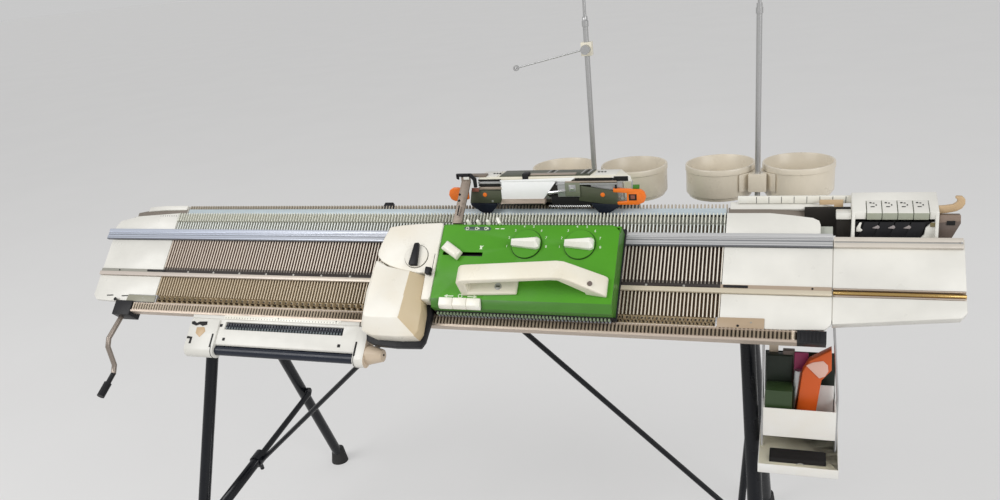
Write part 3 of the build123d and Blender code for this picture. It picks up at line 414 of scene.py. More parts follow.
class Piece:
    """A bmesh in millimetres that becomes one finished object in the frame."""

    def __init__(self, name, matrix=UPRIGHT):
        self.name = name
        self.matrix = matrix
        self.mesh = bmesh.new()
        self.looks = []

    def paint(self, faces, look):
        """Give faces a finish by its name."""
        if look not in self.looks:
            self.looks.append(look)
        index = self.looks.index(look)
        for face in faces:
            face.material_index = index

    @contextmanager
    def added(self, look, rounding=0.0, segments=2, sharp=0.5):
        """Turn outwards, round and paint the faces that are made meanwhile."""
        before = set(self.mesh.faces)
        yield
        made = [face for face in self.mesh.faces if face not in before]
        bmesh.ops.recalc_face_normals(self.mesh, faces=made)
        if rounding:
            edges = dict.fromkeys(edge for face in made for edge in face.edges)
            rounded(self.mesh, edges, rounding, segments, sharp)
        self.paint([face for face in self.mesh.faces if face not in before], look)

    def block(self, low, high, look, rounding=0.0, segments=2):
        """A box with rounded edges."""
        size = [b - a for a, b in zip(low, high)]
        middle = [(a + b) / 2 for a, b in zip(low, high)]
        place = Matrix.Translation(middle) @ Matrix.Diagonal((*size, 1.0))
        with self.added(look, rounding, segments):
            bmesh.ops.create_cube(self.mesh, size=1.0, matrix=place)

    def slab(self, outline, axis, low, high, look, rounding=0.0, segments=2):
        """An outline drawn across one axis and extruded along it."""
        first, second = (number for number in range(3) if number != axis)
        step = [0.0, 0.0, 0.0]
        step[axis] = high - low
        with self.added(look, rounding, segments):
            corners = []
            for pair in outline:
                point = [low, low, low]
                point[first], point[second] = pair
                corners.append(self.mesh.verts.new(point))
            face = self.mesh.faces.new(corners)
            grown = bmesh.ops.extrude_face_region(self.mesh, geom=[face], use_keep_orig=True)
            bmesh.ops.translate(self.mesh, vec=step, verts=of_kind(grown["geom"], bmesh.types.BMVert))

    def rod(self, start, end, radius, look, tip=None, sides=16, rounding=0.0):
        """A round bar or cone between two points."""
        start, end = Vector(start), Vector(end)
        axis = end - start
        turn = axis.to_track_quat("Z", "Y").to_matrix().to_4x4()
        with self.added(look, rounding, 2, 0.9):
            bmesh.ops.create_cone(
                self.mesh, cap_ends=True, segments=sides, radius1=radius,
                radius2=radius if tip is None else tip, depth=axis.length,
                matrix=Matrix.Translation((start + end) / 2) @ turn,
            )

    def ring(self, centre, axis, radius, thickness, look, sides=40):
        """A thin flat ring round an axis."""
        turn = Vector(axis).to_track_quat("Z", "Y").to_matrix().to_4x4()
        place = Matrix.Translation(centre) @ turn
        share = (radius + thickness) / radius
        spread = place @ Matrix.Diagonal((share, share, 1.0, 1.0)) @ place.inverted()
        with self.added(look):
            made = bmesh.ops.create_circle(
                self.mesh, cap_ends=False, segments=sides, radius=radius, matrix=place,
            )
            edges = list(dict.fromkeys(edge for vert in made["verts"] for edge in vert.link_edges))
            grown = bmesh.ops.extrude_edge_only(self.mesh, edges=edges)["geom"]
            bmesh.ops.transform(self.mesh, matrix=spread, verts=of_kind(grown, bmesh.types.BMVert))
            faces = of_kind(grown, bmesh.types.BMFace)
            bmesh.ops.solidify(self.mesh, geom=faces, thickness=thickness * 0.6)

    def lofted(self, sections, look, rounding=0.0, segments=2):
        """A skin bridged through closed sections of as many points each."""
        with self.added(look, rounding, segments):
            loops = []
            for section in sections:
                verts = [self.mesh.verts.new(point) for point in section]
                loops.append([self.mesh.edges.new(pair) for pair in zip(verts, verts[1:] + verts[:1])])
            for first, second in zip(loops, loops[1:]):
                bmesh.ops.bridge_loops(self.mesh, edges=first + second)
            for loop in (loops[0], loops[-1]):
                bmesh.ops.edgenet_fill(self.mesh, edges=loop)

    def turned(self, centre, profile, look, steps=72):
        """A line of (radius, height) spun round an upright axis."""
        x, y = centre
        with self.added(look):
            verts = [self.mesh.verts.new((x + radius, y, height)) for radius, height in profile]
            edges = [self.mesh.edges.new(pair) for pair in zip(verts, verts[1:])]
            bmesh.ops.spin(
                self.mesh, geom=verts + edges, cent=(x, y, 0.0), axis=(0, 0, 1), dvec=(0, 0, 0),
                angle=math.tau, steps=steps, use_merge=True,
            )
            bmesh.ops.remove_doubles(self.mesh, verts=self.mesh.verts, dist=0.001)

    def figure(self, text, place, height, look):
        """A flat figure that reads up the slope of the bed."""
        curve = bpy.data.curves.new("figure", "FONT")
        curve.body = text
        curve.size = height
        curve.align_x = "CENTER"
        curve.align_y = "CENTER"
        curve.extrude = 0.06
        holder = bpy.data.objects.new("figure", curve)
        flat = bpy.data.meshes.new_from_object(holder)
        flat.materials.clear()
        flat.transform(Matrix.Translation(place) @ Matrix.Diagonal((1, -1, 1, 1)))
        with self.added(look):
            self.mesh.from_mesh(flat)
        bpy.data.objects.remove(holder)
        bpy.data.curves.remove(curve)
        bpy.data.meshes.remove(flat)

    def tint(self, look, test):
        """Another finish on the faces whose middle and normal pass a test."""
        self.mesh.normal_update()
        chosen = [face for face in self.mesh.faces if test(face.calc_center_median(), face.normal)]
        self.paint(chosen, look)

    def done(self, body, replaces=(), smooth=35.0):
        """Turn the bmesh into an object that rides on its body."""
        bmesh.ops.transform(self.mesh, matrix=self.matrix, verts=self.mesh.verts)
        bmesh.ops.recalc_face_normals(self.mesh, faces=self.mesh.faces)
        data = bpy.data.meshes.new(self.name)
        self.mesh.to_mesh(data)
        self.mesh.free()
        for look in self.looks:
            data.materials.append(finish(look))
        place_piece(self.name, data, body, replaces, smooth)


def place_piece(name, data, body, replaces=(), smooth=35.0):
    """Link a mesh whose place is in its vertices."""
    data.shade_smooth()
    data.set_sharp_from_angle(angle=math.radians(smooth))
    made = bpy.data.objects.new(name, data)
    bpy.context.scene.collection.objects.link(made)
    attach(made, body)
    if replaces:
        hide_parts(*replaces)


BODY_OF = {
    node: body
    for body, members in frame["record"]["behaviour"]["bodies"].items()
    for node in members
}


def dress(node, looks, chooser=None, rounding=0.0, segments=2, smooth=35.0):
    """Replace a node by a merged copy with rounded edges, its faces finished by name."""
    if isinstance(looks, str):
        looks = [looks]
    mesh = bmesh.new()
    mesh.from_mesh(frame["nodes"][node].data)
    bmesh.ops.remove_doubles(mesh, verts=mesh.verts, dist=1e-6)
    bmesh.ops.dissolve_limit(
        mesh, angle_limit=math.radians(1.0), verts=mesh.verts, edges=mesh.edges, delimit={"NORMAL"},
    )
    if rounding:
        rounded(mesh, mesh.edges, rounding * MM, segments, math.radians(40))
    back = UPRIGHT.inverted()
    for face in mesh.faces:
        face.material_index = 0
        if chooser:
            face.material_index = chooser(back @ face.calc_center_median(), face)
    data = bpy.data.meshes.new(node + "_dressed")
    mesh.to_mesh(data)
    mesh.free()
    for look in looks:
        data.materials.append(finish(look))
    place_piece(node + "_dressed", data, BODY_OF[node], (node,), smooth)


def paint_node(node, look):
    """Give a node, as it is, one finish."""
    slots = frame["nodes"][node].data.materials
    slots.clear()
    slots.append(finish(look))


def on_bed(point, side=FRONT):
    """(x, down, up) of an upright point in millimetres."""
    out = side * point.y - RAIL_LINE
    rise = point.z - BED_HEIGHT
    return point.x, (out - rise) * SLOPE, (out + rise) * SLOPE


# Sizes and colours a user would change
def colour_setting(name, description, default):
    return bpy.props.FloatVectorProperty(
        name=name, description=description, subtype="COLOR", size=3, min=0.0, max=1.0, default=default,
    )


def size_setting(name, description, default, unit="NONE"):
    return bpy.props.FloatProperty(name=name, description=description, default=default, min=0.0, unit=unit)


class KnitColours(bpy.types.PropertyGroup):
    """Colours of the machine's finishes."""

    green: colour_setting("Lock green", "Paint of the lock covers", (0.074, 0.32, 0.011))
    cream: colour_setting("Cream", "Handle, unit and knobs", (0.80, 0.77, 0.66))
    panel: colour_setting("Panel white", "End panels and covers", (0.77, 0.755, 0.70))
    orange: colour_setting("Orange", "Ends of the strippers", (0.86, 0.19, 0.015))
    cup: colour_setting("Cup", "Yarn cups", (0.72, 0.65, 0.53))
    black: colour_setting("Black", "Mouldings in black", (0.012, 0.012, 0.014))
    tan: colour_setting("Tan", "Brackets and hook", (0.55, 0.40, 0.24))


class KnitSizes(bpy.types.PropertyGroup):
    """Small sizes in millimetres."""

    needle: size_setting("Needle", "Radius of a needle's stem", 0.75)
    butt: size_setting("Butt", "Height of a needle's butt", 3.6)
    digit: size_setting("Digit", "Height of the dial figures", 5.2)


class KnitStage(bpy.types.PropertyGroup):
    """Floor, lamps and camera."""

    floor: colour_setting("Floor", "Pale floor", (0.84, 0.83, 0.82))
    key: size_setting("Key lamp", "Strength of the large lamp in watts", 86.0, "POWER")
    fill: size_setting("Fill lamp", "Strength of the side lamp in watts", 48.0, "POWER")
    sky: size_setting("Room light", "Strength of the even light", 0.48)
    lens: size_setting("Lens", "Focal length in millimetres on a 36 mm frame", 30.55, "CAMERA")


def colours():
    return bpy.context.scene.knit_colours


def sizes():
    return bpy.context.scene.knit_sizes


made_finishes = {}


def finish(name):
    """One finish of the machine, made when it is first asked for."""
    if name not in made_finishes:
        made_finishes[name] = FINISHES[name]().material
    return made_finishes[name]


def shade(name):
    """One of the user's colours."""
    return tuple(getattr(colours(), name))


def sealed_black():
    return moulded("Black moulding", shade("black"), 0.42, 1.2, specular_ior_level=0.22)


def back_cover_paint():
    """Green paint that ends in black at the throat."""
    green = shade("green")
    look = painted("Back cover paint", green, 0.45)
    y = look.axes()[1]
    look.set("Base Color", look.mix(y > 80.0, shade("black"), green))
    return look


FINISHES = {
    "green": lambda: painted("Green paint", shade("green"), 0.45, specular_ior_level=0.3),
    "cream": lambda: moulded("Cream moulding", shade("cream"), 0.3),
    "knob": lambda: moulded("Knob moulding", (0.84, 0.83, 0.76), 0.25),
    "panel": lambda: painted("White panel", shade("panel"), 0.32),
    "orange": lambda: moulded("Orange moulding", shade("orange"), 0.3, 0.95),
    "cup": lambda: painted("Cup moulding", shade("cup"), 0.3, 0.03),
    "black": sealed_black,
    "back_cover": back_cover_paint,
    "rubber": lambda: moulded("Foot rubber", (0.02, 0.02, 0.02), 0.75, 1.1, 0.3),
    "tan": lambda: moulded("Tan moulding", shade("tan"), 0.4),
    "tube": lambda: painted("Black tube enamel", (0.007, 0.008, 0.011), 0.26, 0.03, specular_ior_level=0.3),
    "cast": lambda: painted("Cast end metal", (0.42, 0.42, 0.43), 0.45, 0.3, metallic=0.5),
    "steel": lambda: drawn_metal("Drawn steel", (0.50, 0.50, 0.50), 0.34, metallic=0.7),
    "warm_steel": lambda: drawn_metal("Warm steel", (0.46, 0.38, 0.31), 0.36, metallic=0.6),
    "chrome": lambda: drawn_metal("Chrome plate", (0.72, 0.72, 0.72), 0.14, (1, 1, 20)),
    "plate": lambda: drawn_metal("Grey-green steel plate", (0.13, 0.14, 0.10), 0.35),
    "bright": lambda: Finish("Polished plate", (0.95, 0.95, 0.95), 0.22),
    "brass": lambda: drawn_metal("Brass rod", (0.62, 0.42, 0.16), 0.2),
    "blue_strip": lambda: drawn_metal("Bluish edge strip", (0.52, 0.60, 0.64), 0.4, metallic=0.15),
    # Near-black sheets in gaps and hollows: painted shade
    "dark": lambda: moulded("Painted shade in gaps and hollows", (0.018, 0.016, 0.014), 0.6, 1.1, specular_ior_level=0.2),
    "front_walls": lambda: channel_walls(
        "Front channels", FRONT, ((0.64, 0.55, 0.46), (0.80, 0.74, 0.64), (0.76, 0.78, 0.74)),
        ((0.22, 0.125, 0.085), (0.46, 0.36, 0.22), (0.50, 0.52, 0.46)),
        ((0.035, 0.022, 0.016), (0.09, 0.06, 0.035))),
    "back_walls": lambda: channel_walls(
        "Back channels", BACK, ((0.60, 0.62, 0.62), (0.62, 0.62, 0.60), (0.60, 0.62, 0.60)),
        ((0.20, 0.20, 0.17), (0.24, 0.22, 0.17), (0.24, 0.25, 0.22)),
        ((0.05, 0.05, 0.04), (0.08, 0.07, 0.05))),
    "front_rails": lambda: rail_finish("Front rails", FRONT, ((0.50, 0.54, 0.63), (0.56, 0.56, 0.56))),
    "back_rails": lambda: rail_finish("Back rails", BACK, ((0.50, 0.54, 0.63), (0.56, 0.56, 0.56))),
    "guard": lambda: guard_finish(
        "Guard rail", (0.56, 0.47, 0.39), (0.50, 0.42, 0.32), (0.045, 0.032, 0.022)),
    "needle": lambda: drawn_metal("Needle steel", (0.24, 0.17, 0.12), 0.35, metallic=0.5),
    "butt": lambda: drawn_metal("Dark needle butts", (0.05, 0.04, 0.035), 0.4, metallic=0.5),
    "front_peg": lambda: drawn_metal("Front gate prongs", (0.76, 0.76, 0.67), 0.42, (4, 4, 4), metallic=0.1),
    "back_peg": lambda: drawn_metal("Back gate prongs", (0.52, 0.46, 0.37), 0.42, (4, 4, 4), metallic=0.15),
    "pusher": lambda: pusher_finish("Pusher steel", (0.44, 0.34, 0.21), (0.035, 0.026, 0.018)),
    "beige_strip": lambda: painted("Beige edge strip", (0.58, 0.49, 0.40), 0.4),
    "tan_metal": lambda: painted("Tan corner tab", (0.44, 0.33, 0.22), 0.42),
    "grey_metal": lambda: painted("Grey-green corner tab", (0.30, 0.29, 0.22), 0.42),
    "screw": lambda: drawn_metal("Small screws", (0.34, 0.33, 0.30), 0.4, (4, 4, 4), metallic=0.5),
    "crank": lambda: drawn_metal("Worn crank steel", (0.34, 0.29, 0.25), 0.34, (6, 6, 6), metallic=0.8),
    # A darker copy of the lock green: painted shade
    "green_painted_shade": lambda: painted("Green paint darkened as painted shade", (0.055, 0.20, 0.018), 0.4),
    "tooth": lambda: moulded("Pale green teeth", (0.26, 0.34, 0.22), 0.4),
    "tooth_low": lambda: moulded("Grey comb teeth", (0.30, 0.32, 0.36), 0.4),
    "smoke": lambda: moulded("Smoked window", (0.05, 0.08, 0.07), 0.3, 1.1),
    "unit": lambda: moulded("White unit moulding", (0.83, 0.80, 0.72), 0.32),
    # A darker copy of the unit's cream: painted shade
    "unit_shaded_side": lambda: moulded("Unit side in painted shade", (0.60, 0.49, 0.32), 0.4),
    "arm": lambda: drawn_metal("Brown-grey bridge steel", (0.26, 0.21, 0.17), 0.4, metallic=0.45),
    "blade": lambda: drawn_metal("Dark green-grey blade", (0.10, 0.11, 0.07), 0.36, metallic=0.4),
    "nose": lambda: moulded("Blue-black nose", (0.009, 0.012, 0.022), 0.38, 1.1, specular_ior_level=0.25),
    "works_plate": lambda: drawn_metal("Grey-green works plate", (0.24, 0.26, 0.19), 0.38, metallic=0.4),
    "rust": lambda: moulded("Red-brown pad", (0.26, 0.085, 0.06), 0.45),
    "extension_rail": lambda: painted("Beige-grey rail", (0.62, 0.57, 0.50), 0.38, metallic=0.15),
    "groove": lambda: painted("Rail groove in shade", (0.34, 0.335, 0.32), 0.42, metallic=0.2),
    "olive": lambda: moulded("Brown-green box", (0.17, 0.14, 0.06), 0.45),
    "lug": lambda: moulded("Grey lug", (0.30, 0.27, 0.27), 0.4),
    "beige": lambda: moulded("Beige end cap", (0.58, 0.48, 0.37), 0.38),
    "tooth_dark": lambda: drawn_metal("Window teeth", (0.10, 0.12, 0.13), 0.45, (4, 4, 4), metallic=0.2),
    # Yellowed cream, lightened as painted light
    "tray_inside_painted_light": lambda: moulded("Yellowed tray inside with painted light", (0.92, 0.87, 0.68), 0.4),
    # The dark bag's colour, also a sheet of painted shade behind the tray's things
    "dark_bag_and_shade_sheet": lambda: moulded(
        "Dark folded bag and painted shade sheet", (0.014, 0.020, 0.014), 0.34, 1.1, 0.7, specular_ior_level=0.3),
    "paper": lambda: moulded("Printed paper", (0.76, 0.76, 0.74), 0.6),
    "pink": lambda: moulded("Pale pink flap", (0.72, 0.45, 0.38), 0.4),
    "brown_top": lambda: moulded("Lighter brown plate", (0.24, 0.18, 0.145), 0.42),
    "comb_floor": lambda: painted("Grey comb floor", (0.40, 0.41, 0.38), 0.5),
    "cap_shade": lambda: painted("Shaded cap edge", (0.20, 0.17, 0.14), 0.5),
    "key_grey": lambda: moulded("Grey-green key", (0.33, 0.35, 0.28), 0.34),
    "print": lambda: Finish("Pale print", (0.72, 0.80, 0.62), 0.5),
    # Black print, also used as painted shade in the lever's slot
    "ink": lambda: Finish("Black print and painted shade", (0.012, 0.012, 0.012), 0.55, specular_ior_level=0.2),
    "brown": lambda: moulded("Brown-grey plate", (0.13, 0.10, 0.085), 0.4),
    "roller": lambda: moulded("Blue-black roller", (0.010, 0.014, 0.026), 0.28, specular_ior_level=0.35),
    "tray": lambda: moulded("Tray moulding", (0.74, 0.735, 0.71), 0.35),
    "box_green": lambda: moulded("Dark green box", (0.026, 0.052, 0.016), 0.4),
    "box_orange": lambda: moulded("Orange pouch", (0.60, 0.095, 0.008), 0.42, 0.93, 0.4),
    "box_magenta": lambda: moulded("Red-violet card", (0.26, 0.02, 0.09), 0.45),
    "brush": lambda: moulded("Brush bristle", (0.012, 0.011, 0.011), 0.7, 1.1, 0.6, specular_ior_level=0.2),
    "foil": lambda: drawn_metal("Crumpled foil", (0.5, 0.5, 0.5), 0.35, (6, 6, 6)),
}


class DressOperator:
    """What every operator of this file shares."""

    bl_options = {"REGISTER", "UNDO"}


def field_x():
    """Places of the needles along a bed."""
    return [(number + 0.5) * NEEDLE_PITCH - FIELD_HALF for number in range(NEEDLES)]


def gap_x():
    """Places between the needles, one more than there are needles."""
    return [number * NEEDLE_PITCH - FIELD_HALF for number in range(NEEDLES + 1)]


class KNIT_OT_beds(DressOperator, bpy.types.Operator):
    """Channel walls, gate prongs and needles of both beds"""

    bl_idname = "knit.beds"
    bl_label = "Needle beds"

    def execute(self, context):
        for side, name in ((FRONT, "front"), (BACK, "back")):
            paint_node(name + "_bed", name + "_walls")
            self.needles(side, name)
        self.front_prongs()
        self.back_prongs()
        return {"FINISHED"}

    def front_prongs(self):
        row = Piece("front_gate_prongs", ON_BED[FRONT])
        top, foot = COMB_DOWN
        # A near-black strip under the prongs' tops: painted shade between them
        row.block((-FIELD_HALF, top, CHANNEL_FLOOR), (FIELD_HALF, -48.8, COMB_SEAT), "dark")
        row.block((-FIELD_HALF, -48.8, CHANNEL_FLOOR), (FIELD_HALF, foot, COMB_SEAT), "comb_floor")
        for x in gap_x():
            row.block((x - 0.8, top + 0.2, -3.0), (x + 0.8, foot, 4.8), "front_peg", 0.5, 1)
        row.done("machine_frame", ("front_gate_pegs",))

    def back_prongs(self):
        row = Piece("back_gate_prongs", ON_BED[BACK])
        top, foot = COMB_DOWN
        row.block((-FIELD_HALF, top, -8.0), (FIELD_HALF, -50.2, 2.2), "blue_strip", 0.5)
        # A near-black floor under the prongs: painted shade between them
        row.block((-FIELD_HALF, -50.2, CHANNEL_FLOOR), (FIELD_HALF, foot, COMB_SEAT), "dark")
        prong = [(-50.3, -3.0), (-50.3, 8.6), (-47.6, 10.8), (-45.6, 10.8), (-42.0, 4.9), (-42.0, -3.0)]
        for x in gap_x():
            row.slab(prong, 0, x - 0.9, x + 0.9, "back_peg", 0.4, 1)
        row.done("back_bed", ("back_gate_pegs",))
        caps = Piece("back_cap_rims", ON_BED[BACK])
        left = [(-452, -52.5), (-500, -52), (-534, -48), (-541, -44), (-530, -41.5), (-452, -41.5)]
        right = [(452, 0.2), (452, 12.0), (515, 12.4), (545, 11.2), (574, 7.4), (586, 4.6), (586, 0.2)]
        caps.slab(left, 2, 0.6, 9.6, "panel", 1.6, 3)
        caps.slab(right, 1, -52.5, -41.5, "panel", 1.2, 3)
        caps.done("back_bed")
        stop = Piece("back_edge_stop", ON_BED[BACK])
        stop.slab([(-80, 4.9), (-59, 4.9), (-62.5, 15), (-76.5, 15)], 1, -50.0, -44.0, "black", 0.8)
        stop.done("back_bed")

    def needles(self, side, name):
        needles = Piece(name + "_needles", ON_BED[side])
        radius = sizes().needle
        floor = CHANNEL_FLOOR + radius
        top, foot = BUTT_DOWN
        for x in field_x():
            needles.rod(*((x, down, floor) for down in NEEDLE_DOWN), radius, "needle", sides=5)
            needles.block((x - 0.6, top, floor), (x + 0.6, foot, sizes().butt - 4.4), "butt")
        needles.done("machine_frame" if side == FRONT else "back_bed")


def throat_side(point, face):
    """The narrow sides of the back caps, which face the throat."""
    return 1 if face.normal.y < -0.6 and 0 < point.y < 16 else 0


class KNIT_OT_rails(DressOperator, bpy.types.Operator):
    """Rails, end panels and the joints between them"""

    bl_idname = "knit.rails"
    bl_label = "Rails and panels"

    def execute(self, context):
        for name in ("front", "back"):
            dress(name + "_rails", name + "_rails", rounding=0.4)
            dress(name + "_end_panels", ["panel", "cap_shade"], throat_side, rounding=1.0)
        dress("back_guard_rail", "warm_steel", rounding=0.5)
        strips = Piece("needle_bar_screws", ON_BED[FRONT])
        for number in range(17):
            x = -396.0 + number * 49.8
            strips.rod((x, 55.3, 2.2), (x, 55.3, 3.1), 1.7, "screw", sides=10)
        for left, right in ((-479.0, -443.0), (451.0, 482.0)):
            strips.block((left, 52.4, 1.8), (right, 56.0, 3.4), "black", 0.5)
        for x in (-537.0, 560.0):
            strips.rod((x, 54.5, 2.2), (x, 54.5, 3.0), 1.3, "ink", sides=12)
        strips.done("machine_frame")
        marks = Piece("cap_marks", ON_BED[FRONT])
        for number in range(8):
            marks.rod((-487.0 + number * 4.6, -46.8, 2.4), (-487.0 + number * 4.6, -46.8, 3.1), 0.8, "ink",
                      sides=8)
        for middle in (-541.0, -510.0):
            marks.slab([(middle - 7, 99.6), (middle + 6, 98.8), (middle + 7.5, 100.6), (middle - 6, 101.4)],
                       2, 1.0, 1.35, "ink")
        marks.rod((-523, 108.0, 0.5), (-523, 108.0, 5.5), 2.2, "screw", sides=14, rounding=0.5)
        marks.rod((-523, 108.0, 5.4), (-523, 108.0, 6.4), 3.0, "ink", sides=14, rounding=0.3)
        marks.done("machine_frame")
        return {"FINISHED"}


class KNIT_OT_guard_rail(DressOperator, bpy.types.Operator):
    """Reeded guard rail, pushers, corner tabs and black end blocks"""

    bl_idname = "knit.guard_rail"
    bl_label = "Guard rail"

    def execute(self, context):
        paint_node("guard_rail", "guard")
        paint_node("front_pushers", "pusher")
        dress("guard_rail_ends", "black", rounding=0.8)
        ribs = Piece("right_block_ribs", ON_BED[FRONT])
        for number in range(7):
            x = 545.5 + number * 4.2
            ribs.block((x, 113.5, 6.8), (x + 1.8, 126.5, 7.9), "black", 0.3)
        ribs.done("machine_frame")
        tabs = Piece("corner_tabs", ON_BED[FRONT])
        right = [(446, 98.5), (450, 97), (504, 96.6), (504, 111.0), (446, 111.0)]
        left = [(-502, 98), (-446, 98.4), (-446, 110), (-503, 109)]
        tabs.slab(right, 2, 1.2, 2.6, "tan_metal", 0.4)
        tabs.slab(left, 2, 1.2, 2.6, "grey_metal", 0.4)
        tabs.rod((472, 108, 2.4), (472, 108, 3.2), 1.6, "ink", sides=12)
        for x in (-470, 488):
            tabs.rod((x, 103, 2.4), (x, 103, 2.9), 1.2, "screw", sides=12)
        tabs.block((-446, 109.6, -2.8), (446, 112.4, 2.0), "beige_strip", 0.4)
        tabs.done("machine_frame")
        return {"FINISHED"}


class KNIT_OT_crank(DressOperator, bpy.types.Operator):
    """Racking crank with its black grip"""

    bl_idname = "knit.crank"
    bl_label = "Racking crank"

    def execute(self, context):
        x, y, z = box_of("racking_crank")[0]

        def part(point, face):
            return 1 if point.z < z + 35.0 and point.y < y + 30.0 else 0

        dress("racking_crank", ["crank", "black"], part)
        return {"FINISHED"}


class KNIT_OT_stand(DressOperator, bpy.types.Operator):
    """Legs, spreaders, braces, rails, feet and cast ends"""

    bl_idname = "knit.stand"
    bl_label = "Folding stand"

    def execute(self, context):
        tubes = ("stand_rails", "front_legs", "rear_legs", "spreader_tubes", "spreader_rods", "stand_braces")
        for node in tubes:
            dress(node, "tube")
        for node in ("front_feet", "rear_feet"):
            dress(node, "rubber", rounding=1.5)
        dress("bed_cradles", "cast", rounding=1.2)
        return {"FINISHED"}


class KNIT_OT_lock(DressOperator, bpy.types.Operator):
    """Front lock cover with its marks, teeth and small levers"""

    bl_idname = "knit.lock"
    bl_label = "Front lock"

    def execute(self, context):
        # The cover's lower bevel and right end in a darker green: painted shade
        paints = ["green", "green_painted_shade"]

        def flank(point, face):
            x, down, up = on_bed(point)
            return 1 if down > 99.5 or x > 315.0 else 0

        dress("front_lock_cover", paints, flank, rounding=1.1, segments=3)
        dress("front_lock_base", "black", rounding=0.4)
        dress("back_lock", "back_cover", rounding=1.4, segments=3)
        self.teeth()
        self.marks()
        self.small_levers()
        return {"FINISHED"}

    def teeth(self):
        row = Piece("lock_teeth", ON_BED[FRONT])
        row.block((62, 108.5, 9.2), (314, 111.3, 20.5), "black", 0.3)
        for number in range(LOCK_TEETH):
            x = 63.5 + number * NEEDLE_PITCH
            row.block((x, 111.0, 14.5), (x + 2.4, 114.8, 19.2), "tooth", 0.2, 1)
            row.block((x, 111.0, 9.4), (x + 2.4, 115.0, 12.0), "tooth_low", 0.2, 1)
        row.done("carriage")

    def marks(self):
        marks = Piece("lock_marks", ON_BED[FRONT])
        low = COVER_TOP
        high = COVER_TOP + 0.12
        for middle in DIAL_PLACES:
            for number in range(DIAL_FIGURES):
                angle = math.pi * (number - 0.25) / 6.5
                x = middle - math.cos(angle) * 28.5
                down = DIAL_DOWN - math.sin(angle) * 28.0
                marks.figure(str(number + 1), (x, down, high), sizes().digit, "print")
        for tail, head in ((94.0, 81.0), (115.0, 128.0)):
            step = math.copysign(1.0, head - tail)
            shaft = [(tail, 95.4), (head - 3 * step, 95.6), (head - 3 * step, 97.0), (tail, 96.8)]
            point = [(head - 4 * step, 93.8), (head + step, 96.3), (head - 4 * step, 98.6)]
            marks.slab(shaft, 2, low, high, "print")
            marks.slab(point, 2, low, high, "print")
        marks.ring((104.3, 96.0, low + 0.1), (0, 0, 1), 2.2, 1.0, "print", 20)
        marks.slab([(120, 19), (122.5, 19), (124.5, 24.5), (122, 24.5)], 2, low - 0.3, low + 0.03, "print")
        marks.slab([(124.5, 19), (126, 19), (121.5, 24.5), (120, 24.5)], 2, low - 0.3, low + 0.04, "print")
        # A black strip where the lever's slot shows and a black sheet under the slot: painted shade
        marks.block((92, 34.0, low - 0.4), (126, 35.4, low + 0.03), "ink")
        marks.block((66, 28.9, low - 12.0), (126, 34.2, low - 9.0), "ink")
        marks.done("carriage")

    def small_levers(self):
        levers = Piece("lock_levers", ON_BED[FRONT])
        low = COVER_TOP
        levers.slab([(91, -8), (94, -10.5), (130, -10.5), (133, -7.5), (131, -4.5), (95, -4.5)], 2,
                    low - 0.5, low + 0.15, "smoke", 0.1)
        for x in (97.0, 112.0, 127.0):
            levers.rod((x, -16.0, low - 3), (x, -17.5, low + 6.0), 3.0, "knob", 2.2, 14, 0.7)
        for number, x in enumerate((97.0, 111.0, 125.0)):
            levers.ring((x, -7.5, low + 0.2), (0, 0, 1), 1.7, 0.8, "print", 14)
            if number:
                levers.slab([(x + 1, -8.6), (x + 4, -8.6), (x + 4, -6.4), (x + 1, -6.4)], 2, low, low + 0.3,
                            "print")
        levers.slab([(138, -23), (142, -24), (147, -15.5), (143, -13.5)], 2, low - 3, low + 4, "knob", 0.8)
        for x in (139.0, 147.0):
            levers.block((x, -8.0, low), (x + 5.5, -6.8, low + 0.15), "print")
        levers.done("carriage")


class KNIT_OT_dials(DressOperator, bpy.types.Operator):
    """Two round dials with tapered pointer bars"""

    bl_idname = "knit.dials"
    bl_label = "Stitch dials"

    def execute(self, context):
        for side, middle in zip(("left", "right"), DIAL_PLACES):
            dial = Piece("dial_" + side, ON_BED[FRONT])
            low = COVER_TOP + 0.3
            dial.rod((middle, DIAL_DOWN, low - 6), (middle, DIAL_DOWN, low), 4.0, "ink", sides=20)
            dial.rod((middle, DIAL_DOWN, low), (middle, DIAL_DOWN, low + 0.9), 22.0, "ink", sides=64)
            dial.rod((middle, DIAL_DOWN, low + 0.2), (middle, DIAL_DOWN, low + 2.4), 21.3, "green",
                     sides=64, rounding=0.5)
            foot = [(-20, -3.5), (16, -8), (20, -5.5), (20, 6.5), (16, 9), (-20, 5)]
            crest = [(-18.5, -2.2), (14, -4.5), (16, -3.5), (16, 0.5), (14, 1.5), (-18.5, 0.5)]
            sections = []
            for outline, up in ((foot, low + 2.0), (foot, low + 7.5), (crest, low + 12.8)):
                sections.append([(middle + x, DIAL_DOWN + down, up) for x, down in outline])
            dial.lofted(sections, "knob", 0.4, 1)
            dial.done("dial_" + side, ("stitch_dial_" + side,), smooth=20.0)
        return {"FINISHED"}


